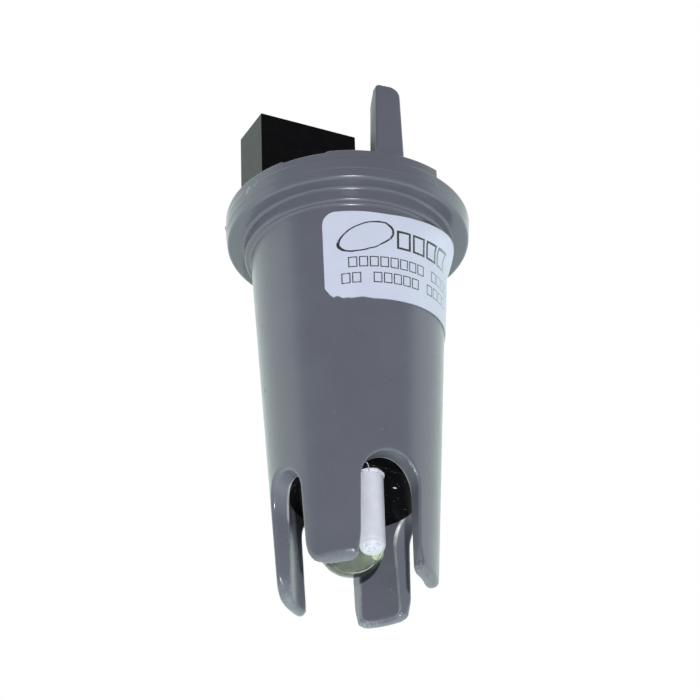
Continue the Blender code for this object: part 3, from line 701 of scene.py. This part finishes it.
def cage_masks(skin):
    """Masks of the painted highlight on the cage's inner edges, the cut faces, the painted light
    from below on the tips, and the painted shade on the tab's left side.
    """
    calc = skin.math
    cut = skin.add("Attribute")
    cut.attribute_name = CUT_FIELD
    cut = cut.outputs["Fac"]
    x, y, z = skin.split(skin.place)
    inward = calc("SUBTRACT", calc("DIVIDE", skin.hypot(x, y), MM), CAGE_RADIUS)
    # Painted highlight: a light line along the cage's inner edges, broken by noise and strongest
    # under the arches
    highlight_round = skin.across(z, TIP_INNER_FADE, 0.3 * INNER_ROUND, TIP_INNER_ROUND)
    beside = calc("MULTIPLY", calc("SUBTRACT", inward, EDGE_HIGHLIGHT_OFFSET),
                  skin.across(z, EDGE_HIGHLIGHT_WIDER, 1.0, 0.45))
    gap = skin.hypot(calc("ADD", cut, highlight_round), beside)
    broken = skin.ramp(skin.noise(1.3), 0.35, 0.6, 0.4, 1.0)
    painted_edge_highlight = calc("MULTIPLY", skin.ramp(gap, *EDGE_HIGHLIGHT_FADE), broken)
    painted_edge_highlight = calc("MULTIPLY", painted_edge_highlight, skin.across(z, EDGE_HIGHLIGHT_ARCH, 0.22, 1.0))
    cut_face = skin.ramp(calc("ABSOLUTE", cut), *CUT_EDGE)
    # Painted light from below on the prong tips, broken by noise
    tip = calc("MULTIPLY", skin.across(z, TIP_PAINTED_LIGHT),
               skin.ramp(skin.noise(0.6, 4.0), 0.3, 0.6, 0.5, 1.0))
    # Painted shade that darkens the tab's left side
    edge = calc("SUBTRACT", x, calc("MULTIPLY", z, TAB_SHADE_SLOPE))
    side = calc("MULTIPLY", skin.across(edge, TAB_SHADE_EDGE),
                skin.across(z, TAB_SHADE_HEIGHT))
    return painted_edge_highlight, cut_face, tip, side


def grey_plastic():
    skin = Skin("grey_plastic", (0.1, 0.104, 0.13), 0.26, IOR=1.5)
    calc = skin.math
    base = skin.patches(5.0, 4.0, (0.111, 0.117, 0.146), (0.12, 0.127, 0.157), 0.35, 0.65)
    painted_edge_highlight, cut_face, tip, side = cage_masks(skin)
    specks = skin.ramp(skin.noise(0.3, 0.0), 0.86, 0.88)
    scuff_and_glint = 0.0
    for centre, reach, turn, grain, level in GREY_SCUFFS_AND_GLINT:
        streak_grain = skin.noise(grain, 4.0, skin.stretched(STREAK_STRETCH, turn))
        mask = skin.ramp(skin.spot(centre, reach, turn), 0.0, 0.5)
        mask = calc("MULTIPLY", mask, skin.ramp(streak_grain, 0.46, 0.56))
        scuff_and_glint = calc("MAXIMUM", scuff_and_glint, calc("MULTIPLY", mask, level))
    dirt = skin.ramp(skin.spot(GREY_SPECK, GREY_SPECK_REACH), 0.2, 0.5)
    for mask, share, colour in (
            # the tip entry is painted light from below
            (cut_face, 0.13, (0.3, 0.32, 0.36)), (tip, 0.22, (0.34, 0.37, 0.41)),
            # painted shade on the tab's left side, and the painted highlight along the inner edges
            (side, 0.3, (0.02, 0.021, 0.03)), (painted_edge_highlight, 1.0, (0.62, 0.64, 0.67)),
            # scuffs, with the painted glint on the front arch's edge
            (specks, 0.3, (0.3, 0.31, 0.34)), (scuff_and_glint, 1.0, (0.5, 0.53, 0.58)),
            (dirt, 1.0, (0.01, 0.01, 0.012))):
        base = skin.mix(calc("MULTIPLY", mask, share), base, colour)
    rough = skin.ramp(skin.noise(2.2), 0.3, 0.7, 0.23, 0.28)
    rough = calc("ADD", rough, calc("MULTIPLY", calc("ADD", side, scuff_and_glint), 0.2))
    skin.look(Base_Color=base, Roughness=rough)
    skin.bump(skin.noise(4.0, 1.0), 0.03, 0.3)
    skin.bump(skin.noise(0.15, 2.0), 0.003, 0.4)
    skin.bump(scuff_and_glint, 0.04, 0.6)
    return skin


def black_plastic(name, roughness, speck_level, shine):
    skin = Skin(name, (0.006, 0.006, 0.0065), roughness, IOR=1.5, Specular_IOR_Level=shine)
    dust = skin.ramp(skin.noise(0.16, 0.0), 0.8, 0.83)
    base = skin.patches(2.0, 3.0, (0.0025, 0.0025, 0.003), (0.004, 0.004, 0.0045))
    base = skin.mix(skin.math("MULTIPLY", dust, speck_level), base, (0.16, 0.16, 0.16))
    skin.look(Base_Color=base, Roughness=skin.ramp(
        skin.noise(1.2, 4.0), 0.3, 0.7, roughness * 0.8, roughness * 1.25))
    skin.bump(skin.noise(0.15), 0.003, 0.5)
    return skin


def rubber():
    skin = Skin("seal_rubber", (0.03, 0.03, 0.03), 0.7)
    skin.look(Base_Color=skin.patches(0.8, 4.0, (0.022, 0.022, 0.022), (0.04, 0.04, 0.04)))
    skin.bump(skin.noise(0.1), 0.01, 0.6)
    return skin


def glass():
    """Green stem glass above the seam of the bulb, clear membrane below it."""
    skin = Skin("glass", (0.86, 0.93, 0.86), 0.02, IOR=1.5, Transmission_Weight=1.0)
    above = skin.across(skin.split(skin.place)[2], (BULB_SEAM - 0.05, BULB_SEAM + 0.05))
    skin.look(Base_Color=skin.mix(above, (0.93, 0.95, 0.93), (0.8, 0.86, 0.72)),
              Roughness=skin.ramp(skin.noise(1.5, 4.0), 0.35, 0.75, 0.0, 0.05))
    skin.bump(skin.noise(1.6, 1.0), 0.01, 0.3)
    return skin


# Glass of the bulb's seam, also used for the painted refraction line
def seam_and_refraction_line_glass():
    skin = Skin("seam_and_refraction_line_glass", (0.68, 0.71, 0.62), 0.2, IOR=1.5, Transmission_Weight=0.3)
    skin.look(Roughness=skin.ramp(skin.noise(0.5, 2.0), 0.3, 0.7, 0.12, 0.3))
    return skin


def filling():
    """Liquid in the bulb."""
    skin = Skin("bulb_filling", (0.62, 0.7, 0.52), 0.0, IOR=1.34, Transmission_Weight=1.0)
    skin.look(Base_Color=skin.patches(1.0, 2.0, (0.68, 0.73, 0.58), (0.76, 0.8, 0.66)))
    return skin


def metal(name, dull, bright, roughness, grain):
    skin = Skin(name, bright, roughness, Metallic=1.0)
    skin.look(Base_Color=skin.patches(grain, 4.0, dull, bright, 0.35, 0.7),
              Roughness=skin.ramp(skin.noise(grain / 2, 4.0), 0.3, 0.7,
                                  roughness * 0.75, roughness * 1.4))
    skin.bump(skin.noise(grain / 6, 2.0), 0.004, 0.5)
    return skin


def porous_white():
    """White of the rod, with open pores towards its end."""
    skin = Skin("porous_white", (0.66, 0.68, 0.76), 0.45, Subsurface_Weight=0.15,
                Subsurface_Radius=(0.0006, 0.0006, 0.0006), Subsurface_Scale=0.5)
    calc = skin.math
    base = skin.patches(1.2, 4.0, (0.61, 0.625, 0.71), (0.67, 0.69, 0.76))
    end = skin.across(skin.split(skin.place)[2], ROD_PORES)
    pore = calc("MULTIPLY", end, skin.ramp(skin.noise(0.16, 1.0), 0.6, 0.68))
    base = skin.mix(calc("MULTIPLY", pore, 0.7), base, (0.2, 0.2, 0.22))
    skin.look(Base_Color=base)
    skin.bump(skin.noise(0.09), 0.006, 0.5)
    skin.bump(pore, -0.04, 0.7)
    return skin


def board_green():
    """Solder resist with a few traces under it."""
    skin = Skin("board_green", (0.02, 0.12, 0.05), 0.4)
    calc = skin.math
    x, y, _ = skin.split(skin.place)
    trace = 0.0
    for offset in BOARD_TRACES:
        line = calc("COMPARE", x, offset * MM, TRACE_HALF_WIDTH * MM)
        line = calc("MULTIPLY", line, calc("COMPARE", y, 0.0, TRACE_HALF_LENGTH * MM))
        trace = calc("MAXIMUM", line, trace)
    base = skin.patches(2.0, 4.0, (0.012, 0.085, 0.035), (0.02, 0.115, 0.05))
    skin.look(Base_Color=skin.mix(trace, base, (0.05, 0.21, 0.08)))
    skin.bump(trace, 0.03, 0.6)
    skin.bump(skin.noise(0.2), 0.004, 0.5)
    return skin


def lead_insulation():
    skin = Skin("lead_insulation", (0.5, 0.04, 0.03), 0.42)
    skin.look(Base_Color=skin.patches(0.7, 3.0, (0.42, 0.03, 0.025), (0.55, 0.05, 0.035)))
    skin.bump(skin.noise(0.2), 0.004, 0.5)
    return skin


def label_paper():
    """Coated paper with a blank oval, a row of blank boxes and two rows of small blank cells."""
    skin = Skin("label_paper", (0.6, 0.64, 0.78), 0.42)
    calc = skin.math
    x, y, z = skin.split(skin.place)
    around = calc("ARCTAN2", x, calc("MULTIPLY", y, -1.0))
    along = calc("MULTIPLY", around, LABEL_RADIUS * MM)
    up = calc("SUBTRACT", z, calc("MULTIPLY", along, PRINT_SLOPE))

    centre, radii, tilt = LABEL_OVAL
    side = calc("SUBTRACT", along, centre[0] * MM)
    rise = calc("SUBTRACT", z, centre[1] * MM)
    cosine, sine = math.cos(math.radians(tilt)), math.sin(math.radians(tilt))
    long_way = calc("ADD", calc("MULTIPLY", side, cosine), calc("MULTIPLY", rise, sine))
    short_way = calc("SUBTRACT", calc("MULTIPLY", rise, cosine), calc("MULTIPLY", side, sine))
    reach = calc("ADD", calc("POWER", calc("DIVIDE", long_way, radii[0] * MM), 2.0),
                 calc("POWER", calc("DIVIDE", short_way, radii[1] * MM), 2.0))
    wobble = skin.ramp(skin.noise(1.4, 1.0), 0.3, 0.7, 0.92, 1.08)
    ink = calc("COMPARE", reach, wobble, 0.1)

    for start, pitch, width, low, high, count, stroke, empty in LABEL_ROWS:
        passed = calc("DIVIDE", calc("SUBTRACT", along, (start - stroke) * MM), pitch * MM)
        number = calc("FLOOR", passed)
        inside = calc("MULTIPLY", calc("SUBTRACT", passed, number), pitch * MM)
        from_middle = calc("ABSOLUTE", calc("SUBTRACT", inside, (width / 2 + stroke) * MM))
        across = calc("SUBTRACT", from_middle, width / 2 * MM)
        from_middle = calc("ABSOLUTE", calc("SUBTRACT", up, (low + high) / 2 * MM))
        tall = calc("SUBTRACT", from_middle, (high - low) / 2 * MM)
        cells = calc("COMPARE", calc("MAXIMUM", across, tall), 0.0, stroke * MM)
        cells = calc("MULTIPLY", cells, calc("COMPARE", number, (count - 1) / 2, count / 2))
        for place in empty:
            gap = calc("COMPARE", number, place, 0.5)
            cells = calc("MULTIPLY", cells, calc("SUBTRACT", 1.0, gap))
        ink = calc("MAXIMUM", ink, cells)
    ink = calc("MULTIPLY", ink, skin.across(along, PRINT_FADE, 1.0, 0.55))
    base = skin.patches(2.5, 4.0, (0.562, 0.6, 0.735), (0.59, 0.629, 0.763))
    worn = skin.ramp(skin.noise(0.1), 0.3, 0.4)
    base = skin.mix(calc("MULTIPLY", ink, worn), base, (0.018, 0.018, 0.022))
    skin.look(Base_Color=base)
    skin.bump(skin.noise(0.25, 4.0), 0.005, 0.5)
    skin.bump(skin.noise(3.5, 1.0), 0.12, 0.25)
    skin.bump(skin.spot(*LABEL_CREASE), 0.08, 0.6)
    return skin


def build_shell(skin):
    """Fine mesh of the moulded shell: barrel, cage, flange, rim wall and key tab."""
    high = box_mm("body_shell")[1]

    def field(x, y, z):
        return shell_field(x, y, z, high.x, high.z)

    bands = [(TAB_ANGLE, TAB_BAND)]
    for slot in SLOTS:
        bands += [(slot[0] + turn, SLOT_SIDE_BAND) for turn in (-SLOT_SIDE_TURN, SLOT_SIDE_TURN)]
    fine = np.arange(-27.0, 333.0, TURN_UNIT)
    step = np.full(len(fine), TURN_STEP)
    for middle, half in bands:
        step[np.abs((fine - middle + 180.0) % 360.0 - 180.0) < half] = FINE_TURN_STEP
    passed = np.cumsum(TURN_UNIT / step)
    turns = np.interp(np.arange(int(passed[-1])) + 1.0, passed, fine)
    points, faces, normals = surface_net(field, turns, spaced(GRID_RADII), spaced(GRID_HEIGHTS))
    piece = mesh_piece("moulded_shell", points, faces.tolist(), skin, normals)
    cut = prong_fields(*points.T)[0]
    layer = piece.data.attributes.new(CUT_FIELD, "FLOAT", "POINT")
    layer.data.foreach_set("value", np.clip(cut, -5.0, 5.0))
    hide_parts("body_shell")


def bulb_place():
    """Centre and radius of the bulb, and the top of its tube."""
    middle, radius, bottom, top = stem_mm("glass_tube")
    return (middle.x, middle.y, bottom + radius), radius, top


def bulb_profile(inset, top):
    """Profile of the bulb and tube, set in, from the bottom up, with a smooth neck."""
    centre, radius, _ = bulb_place()
    radius -= inset
    tube = TUBE_RADIUS - inset
    side = tube + NECK_FILLET
    reach = math.sqrt((radius + NECK_FILLET) ** 2 - side ** 2)
    bulb_end = math.degrees(math.atan2(reach, side))
    points = arc(0.0, centre[2], radius, -90.0, bulb_end, 44)
    neck = arc(side, centre[2] + reach, NECK_FILLET, 180.0 + bulb_end, 180.0, 10)
    return [(0.0, centre[2] - radius)] + points[1:] + neck[1:] + [(tube, top)]


def build_glass(skin, liquid):
    """Glass bulb with its open stem, and the liquid that fills it."""
    centre, _, top = bulb_place()
    profile = bulb_profile(0.0, top) + bulb_profile(GLASS_WALL, top)[::-1]
    points, faces = turned_mesh(profile, centre, 96)
    tube = mesh_piece("glass_bulb", points, faces, skin)
    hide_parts("glass_tube")
    level = centre[2] + LIQUID_RISE
    wet = bulb_profile(GLASS_WALL - LIQUID_OVERLAP, level)
    points, faces = turned_mesh(wet + [(0.0, level)], centre, 96)
    mesh_piece("bulb_liquid", points, faces, liquid)


def add_ring(name, axis, offset, wire, skin):
    """Fine ring round the bulb, in a plane square to an axis through the bulb's centre."""
    centre, bulb, _ = bulb_place()
    axis = Vector(axis).normalized()
    middle = Vector(centre) + offset * axis
    ring = math.sqrt(bulb ** 2 - offset ** 2) + 0.01
    first = axis.orthogonal().normalized()
    second = axis.cross(first)
    section = arc(0.0, 0.0, wire, 315.0, 0.0, 7)
    steps = 96
    points = []
    for step in range(steps):
        angle = math.tau * step / steps
        outward = first * math.cos(angle) + second * math.sin(angle)
        points += [middle + outward * (ring + out) + axis * up for out, up in section]
    mesh_piece(name, points, loop_faces(steps, len(section)), skin)


def build_rod(skin):
    """Junction rod with its rounded end, the frayed collar where it leaves the plug, a thread."""
    centre, radius, bottom, top = stem_mm("junction_rod")
    profile = [(0.0, bottom), (ROD_END_FLAT, bottom)]
    profile += arc(radius - ROD_END_ROUND, bottom + ROD_END_ROUND, ROD_END_ROUND, -90.0, -6.0, 12)
    profile += [(radius - inset, bottom + rise) for inset, rise in ROD_GROOVE]
    profile += [(radius, bottom + ROD_ROWS_START + step * ROD_ROW) for step in range(12)]
    profile += [(radius, top), (0.0, top)]
    points, faces = turned_mesh(profile, centre, 64)
    rod = mesh_piece("white_rod", points, faces, skin)
    rod.data.set_sharp_from_angle(angle=math.radians(50.0))
    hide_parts("junction_rod")

    exit_height = box_mm("end_plug")[0].z
    steps = 72
    points = []
    for step in range(steps):
        angle = math.tau * step / steps
        ragged = sum(size * math.sin(count * angle + phase) for size, count, phase in COLLAR_WAVES)
        for out, lift in COLLAR_SECTION:
            spread = radius - 0.02 + out * (1.0 + ragged)
            points.append((centre[0] + spread * math.cos(angle),
                           centre[1] + spread * math.sin(angle),
                           exit_height - 0.1 + lift * (0.55 + ragged * 1.4)))
    faces = loop_faces(steps, len(COLLAR_SECTION))
    mesh_piece("rod_collar", points, faces, skin)
    add_thread(centre, exit_height, skin)


def add_thread(centre, height, skin):
    """Thin loop of thread that stands out beside the rod where it meets the plug."""
    curve = bpy.data.curves.new("rod_thread", "CURVE")
    curve.dimensions = "3D"
    curve.bevel_depth = THREAD_RADIUS * MM
    curve.bevel_resolution = 2
    curve.use_fill_caps = True
    spline = curve.splines.new("NURBS")
    spline.points.add(len(THREAD_ROUTE) - 1)
    for point, (x, y, z) in zip(spline.points, THREAD_ROUTE):
        point.co = ((centre[0] + x) * MM, (centre[1] + y) * MM, (height + z) * MM, 1.0)
    spline.use_endpoint_u = True
    spline.order_u = 4
    finish_piece("rod_thread", curve, skin)


def carved(name, mesh, cutters):
    """Mesh with the volumes of upright round cutters, (x, y, radius), taken out."""
    body = new_object(name, mesh)
    tools = []
    for x, y, radius in cutters:
        work = bmesh.new()
        bmesh.ops.create_cone(work, cap_ends=True, segments=64, radius1=radius * MM,
                              radius2=radius * MM, depth=0.1)
        bmesh.ops.translate(work, verts=work.verts, vec=(x * MM, y * MM, 0.0))
        tools.append(new_object("cutter", finished(work, "cutter")))
        cut = body.modifiers.new("cut", "BOOLEAN")
        cut.operation = "DIFFERENCE"
        cut.solver = "EXACT"
        cut.object = tools[-1]
    shape = body.evaluated_get(bpy.context.evaluated_depsgraph_get())
    result = bpy.data.meshes.new_from_object(shape)
    for item in (body, *tools):
        bpy.data.objects.remove(item, do_unlink=True)
    return result


def build_plug(skin, glint_surface):
    """Potted end plug, which closes round the tube and the rod, with a painted highlight on its
    face: a white speck that stands in for a glint.
    """
    low, high = box_mm("end_plug")
    ledge = PLUG_LEDGE + PLUG_LEDGE_GAP
    face_radius = CAGE_RADIUS - PLUG_FACE_GAP
    profile = [(0.0, low.z), (face_radius - 0.4, low.z)]
    profile += arc(face_radius - PLUG_EDGE_ROUND, low.z + PLUG_EDGE_ROUND, PLUG_EDGE_ROUND,
                   -90.0, 0.0, 4)
    profile += [(face_radius, ledge), (high.x, ledge), (high.x, high.z), (0.0, high.z)]
    points, faces = turned_mesh(profile, (0.0, 0.0), 128)
    mesh = bpy.data.meshes.new("plug_blank")
    mesh.from_pydata((np.array(points) * MM).tolist(), [], faces)
    tube = stem_mm("glass_tube")[0]
    rod, rod_radius, _, _ = stem_mm("junction_rod")
    mesh = carved("plug_blank", mesh, ((tube.x, tube.y, TUBE_RADIUS + PLUG_TUBE_GAP),
                                       (rod.x, rod.y, rod_radius + PLUG_ROD_GAP)))
    mesh.shade_smooth()
    mesh.set_sharp_from_angle(angle=math.radians(35.0))
    mesh.materials.clear()
    plug = finish_piece("potted_plug", mesh, skin)
    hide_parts("end_plug")

    # Painted highlight: a small white dome in place of a glint on the plug's face
    profile = [(out, up) for up, out in arc(0.0, 0.0, PLUG_GLINT_RADIUS, 180.0, 0.0, 9)]
    points, faces = turned_mesh(profile, (0.0, 0.0), 16)
    wide, deep = PLUG_GLINT_STRETCH
    points = [(wide * x + PLUG_GLINT_SPOT[0], deep * y + PLUG_GLINT_SPOT[1], z + low.z - 0.02)
              for x, y, z in points]
    mesh_piece("plug_painted_glint", points, faces, glint_surface)


def build_housing(skin):
    """Socket block with softly broken edges and square pockets."""
    low, high = box_mm("connector_housing")
    spots = [stem_mm(contact)[0] for contact in CONTACTS]

    def lines(axis):
        """Places along an axis of the block's sides and its pockets' sides."""
        sides = {round(spot[axis] + half, 4) for spot in spots
                 for half in (-POCKET_WIDTH / 2, POCKET_WIDTH / 2)}
        return sorted(sides | {low[axis], high[axis]})

    lines_x = lines(0)
    lines_y = lines(1)
    columns = len(lines_x) - 1
    rows = len(lines_y) - 1

    def cell_top(column, row):
        """Height of a cell's top; a cell outside the block has no height."""
        if not (0 <= column < columns and 0 <= row < rows):
            return low.z
        x = (lines_x[column] + lines_x[column + 1]) / 2
        y = (lines_y[row] + lines_y[row + 1]) / 2
        hole = any(max(abs(x - spot.x), abs(y - spot.y)) < POCKET_WIDTH / 2 for spot in spots)
        return low.z + POCKET_FLOOR if hole else high.z

    work = bmesh.new()

    def quad(*corners):
        work.faces.new([work.verts.new(Vector(corner) * MM) for corner in corners])

    for column in range(columns):
        for row in range(rows):
            x0, x1 = lines_x[column], lines_x[column + 1]
            y0, y1 = lines_y[row], lines_y[row + 1]
            top = cell_top(column, row)
            quad((x0, y0, top), (x1, y0, top), (x1, y1, top), (x0, y1, top))
            quad((x0, y0, low.z), (x0, y1, low.z), (x1, y1, low.z), (x1, y0, low.z))
            sides = ((column - 1, row, (x0, y1), (x0, y0)), (column + 1, row, (x1, y0), (x1, y1)),
                     (column, row - 1, (x0, y0), (x1, y0)), (column, row + 1, (x1, y1), (x0, y1)))
            for near_column, near_row, start, end in sides:
                foot = cell_top(near_column, near_row)
                if foot < top:
                    quad((*start, foot), (*end, foot), (*end, top), (*start, top))
    bmesh.ops.remove_doubles(work, verts=work.verts, dist=0.0001 * MM)
    bmesh.ops.dissolve_limit(work, angle_limit=math.radians(1.0), verts=work.verts,
                             edges=work.edges)
    mesh = finished(work, "socket_block")
    piece = finish_piece("socket_block", mesh, skin)
    bevel = piece.modifiers.new("edges", "BEVEL")
    bevel.width = BLOCK_EDGE * MM
    bevel.segments = 3
    bevel.limit_method = "ANGLE"
    bevel.angle_limit = math.radians(40.0)
    bevel.harden_normals = True
    mesh.shade_smooth()
    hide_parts("connector_housing")


def faded(change, value):
    """Part of a change of (size, fade) that has come at a value."""
    size, span = change
    return size * fade(value, *span)


def label_radius(degrees, height):
    """Radius of the label's inner face, which lifts off the barrel at the upper right."""
    lift = faded(LABEL_LIFT, degrees) * (1.0 - faded(LABEL_LIFT_LOSS, degrees))
    barrel = TIP_RADIUS + BARREL_SLOPE * height + LABEL_GAP
    return barrel + lift * fade(height, *LABEL_LIFT_HEIGHT)


def label_edges(degrees):
    """Heights of the label's lower and upper edges at an angle, with its torn lower corner."""
    tear = float(np.interp(degrees, *zip(*LABEL_TEAR)))
    lower = LABEL_LOW + faded(LABEL_LOW_RISE, degrees) + tear
    upper = LABEL_HIGH + faded(LABEL_HIGH_RISE, degrees) - faded(LABEL_HIGH_FALL, degrees)
    from_left = math.radians(degrees - LABEL_START) * LABEL_RADIUS
    if from_left < LABEL_CORNER:
        upper -= LABEL_CORNER - math.sqrt(LABEL_CORNER ** 2 - (LABEL_CORNER - from_left) ** 2)
    return lower, upper


def build_label(skin):
    """Thin label that follows the barrel, with one torn corner and a lifted one."""
    columns = 150
    rows = 40
    points = []
    for side in (0.0, LABEL_THICKNESS):
        for column in range(columns + 1):
            degrees = LABEL_START + (LABEL_END - LABEL_START) * (column / columns) ** 1.15
            lower, upper = label_edges(degrees)
            angle = math.radians(degrees)
            for row in range(rows + 1):
                height = lower + (upper - lower) * row / rows
                radius = label_radius(degrees, height) + side
                points.append((radius * math.sin(angle), -radius * math.cos(angle), height))
    sheet = (columns + 1) * (rows + 1)
    faces = []
    for column in range(columns):
        for row in range(rows):
            first = column * (rows + 1) + row
            second = first + rows + 1
            faces.append((sheet + first, sheet + second, sheet + second + 1, sheet + first + 1))
            faces.append((first, first + 1, second + 1, second))
    grid = np.arange(sheet).reshape(columns + 1, rows + 1)
    rim = [*grid[:, 0], *grid[-1, 1:], *grid[-2::-1, -1], *grid[0, -2:0:-1]]
    for here, after in zip(rim, rim[1:] + rim[:1]):
        faces.append((here, after, sheet + after, sheet + here))
    piece = mesh_piece("paper_label", points, faces, skin)
    piece.data.set_sharp_from_angle(angle=math.radians(50.0))
    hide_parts("label")


def facing(place, target):
    """Placement at a point, turned towards a target."""
    turn = (place - target).to_track_quat("Z", "Y").to_matrix().to_4x4()
    return Matrix.Translation(place) @ turn


def add_camera():
    data = bpy.data.cameras.new("camera")
    data.lens = CAMERA_LENS
    data.sensor_width = CAMERA_SENSOR
    data.clip_start = CAMERA_NEAR
    azimuth = math.radians(CAMERA_AZIMUTH)
    elevation = math.radians(CAMERA_ELEVATION)
    back = Vector((math.sin(azimuth) * math.cos(elevation),
                   -math.cos(azimuth) * math.cos(elevation), math.sin(elevation)))
    place = CAMERA_TARGET + CAMERA_DISTANCE * back
    camera = new_object("camera", data)
    roll = Matrix.Rotation(math.radians(CAMERA_ROLL), 4, "Z")
    camera.matrix_world = facing(place, CAMERA_AIM) @ roll
    bpy.context.scene.camera = camera
    return camera


def add_key(camera):
    """Small lamp beside the camera, for the rims' glints and the prongs' shadows."""
    data = bpy.data.lights.new("key", "AREA")
    data.shape = "DISK"
    data.size = KEY_SIZE
    data.energy = KEY_POWER
    place = camera.matrix_world @ Vector((KEY_RIGHT, KEY_UP, 0.0))
    new_object("key", data).matrix_world = facing(place, CAMERA_TARGET)


def set_world():
    """White surroundings behind and beside the part, dim ones on the photographer's side."""
    world = bpy.data.worlds.new("surroundings")
    bpy.context.scene.world = world
    graph = Graph(world)
    graph.nodes.clear()
    place = graph.add("TexCoord").outputs["Generated"]
    azimuth = math.radians(DIM_AZIMUTH)
    towards = graph.measure("DOT_PRODUCT", place, (math.sin(azimuth), -math.cos(azimuth), 0.0))
    dim = graph.ramp(towards, *DIM_EDGE, kind="SMOOTHSTEP")
    below = graph.ramp(graph.split(place)[2], *BELOW_EDGE, 1.0, BELOW_SHARE, "SMOOTHSTEP")
    share = graph.math("MULTIPLY", dim, below)

    white, back, front = (graph.add("Background", Color=(*colour, 1.0)).outputs[0]
                          for colour in ((1.0, 1.0, 1.0), BACK_COLOUR, DIM_COLOUR))
    path = graph.add("LightPath").outputs
    direct = graph.math("LESS_THAN", path["Diffuse Depth"], 0.5)
    through = path["Is Transmission Ray"]
    hidden = graph.math("SUBTRACT", through, direct)
    soft = graph.choose(graph.math("MAXIMUM", share, hidden), back, front)
    clear = graph.choose(graph.math("MULTIPLY", through, direct), soft, white)
    seen = graph.choose(path["Is Camera Ray"], clear, white)
    graph.add("OutputWorld", Surface=seen)


def add_floor():
    """Plain pale floor at the prong tips, seen from above only, which fades out far away."""
    work = bmesh.new()
    bmesh.ops.create_circle(work, cap_ends=True, segments=96, radius=FLOOR_RADIUS)
    mesh = finished(work, "floor")
    skin = Skin("pale_floor", (0.9, 0.9, 0.9), 0.6)
    camera_ray = skin.add("LightPath").outputs["Is Camera Ray"]
    underside = skin.add("NewGeometry").outputs["Backfacing"]
    near = skin.ramp(skin.measure("LENGTH", skin.place), *FLOOR_FADE, kind="SMOOTHSTEP")
    shown = skin.math("SUBTRACT", camera_ray, underside, clamp=True)
    shown = skin.math("MULTIPLY", shown, near)
    clear = skin.add("BsdfTransparent").outputs[0]
    seen = skin.choose(shown, clear, skin.shader.outputs[0])
    skin.fill(skin.nodes["Material Output"], {"Surface": seen})
    mesh.materials.append(skin.material)
    floor = new_object("floor", mesh)
    floor.location.z = -FLOOR_DROP
    floor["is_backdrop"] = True


def main():
    for item in list(bpy.data.objects):
        bpy.data.objects.remove(item, do_unlink=True)
    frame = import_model()
    cad_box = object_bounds()
    bpy.context.scene.view_settings.view_transform = "Standard"
    add_key(add_camera())
    set_world()
    add_floor()
    white = porous_white()
    build_shell(grey_plastic())
    build_glass(glass(), filling())
    # glass of the bulb's seam and of the painted refraction line
    seam = seam_and_refraction_line_glass()
    add_ring("bulb_seam", (0.0, 0.0, 1.0), BULB_SEAM - bulb_place()[0][2], BULB_SEAM_WIRE, seam)
    # painted refraction line: a fine ring facing the camera, in place of a light line seen through
    # the bulb
    add_ring("bulb_painted_refraction_line", BULB_REFRACTION_LINE_AXIS, BULB_REFRACTION_LINE_OFFSET, BULB_REFRACTION_LINE_WIRE, seam)
    build_rod(white)
    build_plug(black_plastic("plug_plastic", 0.2, 0.7, 0.03), white)
    build_housing(black_plastic("socket_plastic", 0.22, 0.05, 0.13))
    build_label(label_paper())
    silver = metal("silver", (0.5, 0.5, 0.49), (0.78, 0.78, 0.76), 0.3, 0.5)
    gold = metal("gold_plate", (0.7, 0.5, 0.2), (0.86, 0.64, 0.28), 0.22, 0.4)
    for skin, nodes in ((board_green(), ("circuit_board",)),
                        (rubber(), ("chamber_seal", "tube_stopper")),
                        (silver, ("bulb_wire", "reference_wire")),
                        (lead_insulation(), ("bulb_lead", "reference_lead")),
                        (gold, CONTACTS)):
        for node in nodes:
            materials = frame["nodes"][node].data.materials
            materials.clear()
            materials.append(skin.material)
    return cad_box


cad_bounds = main()
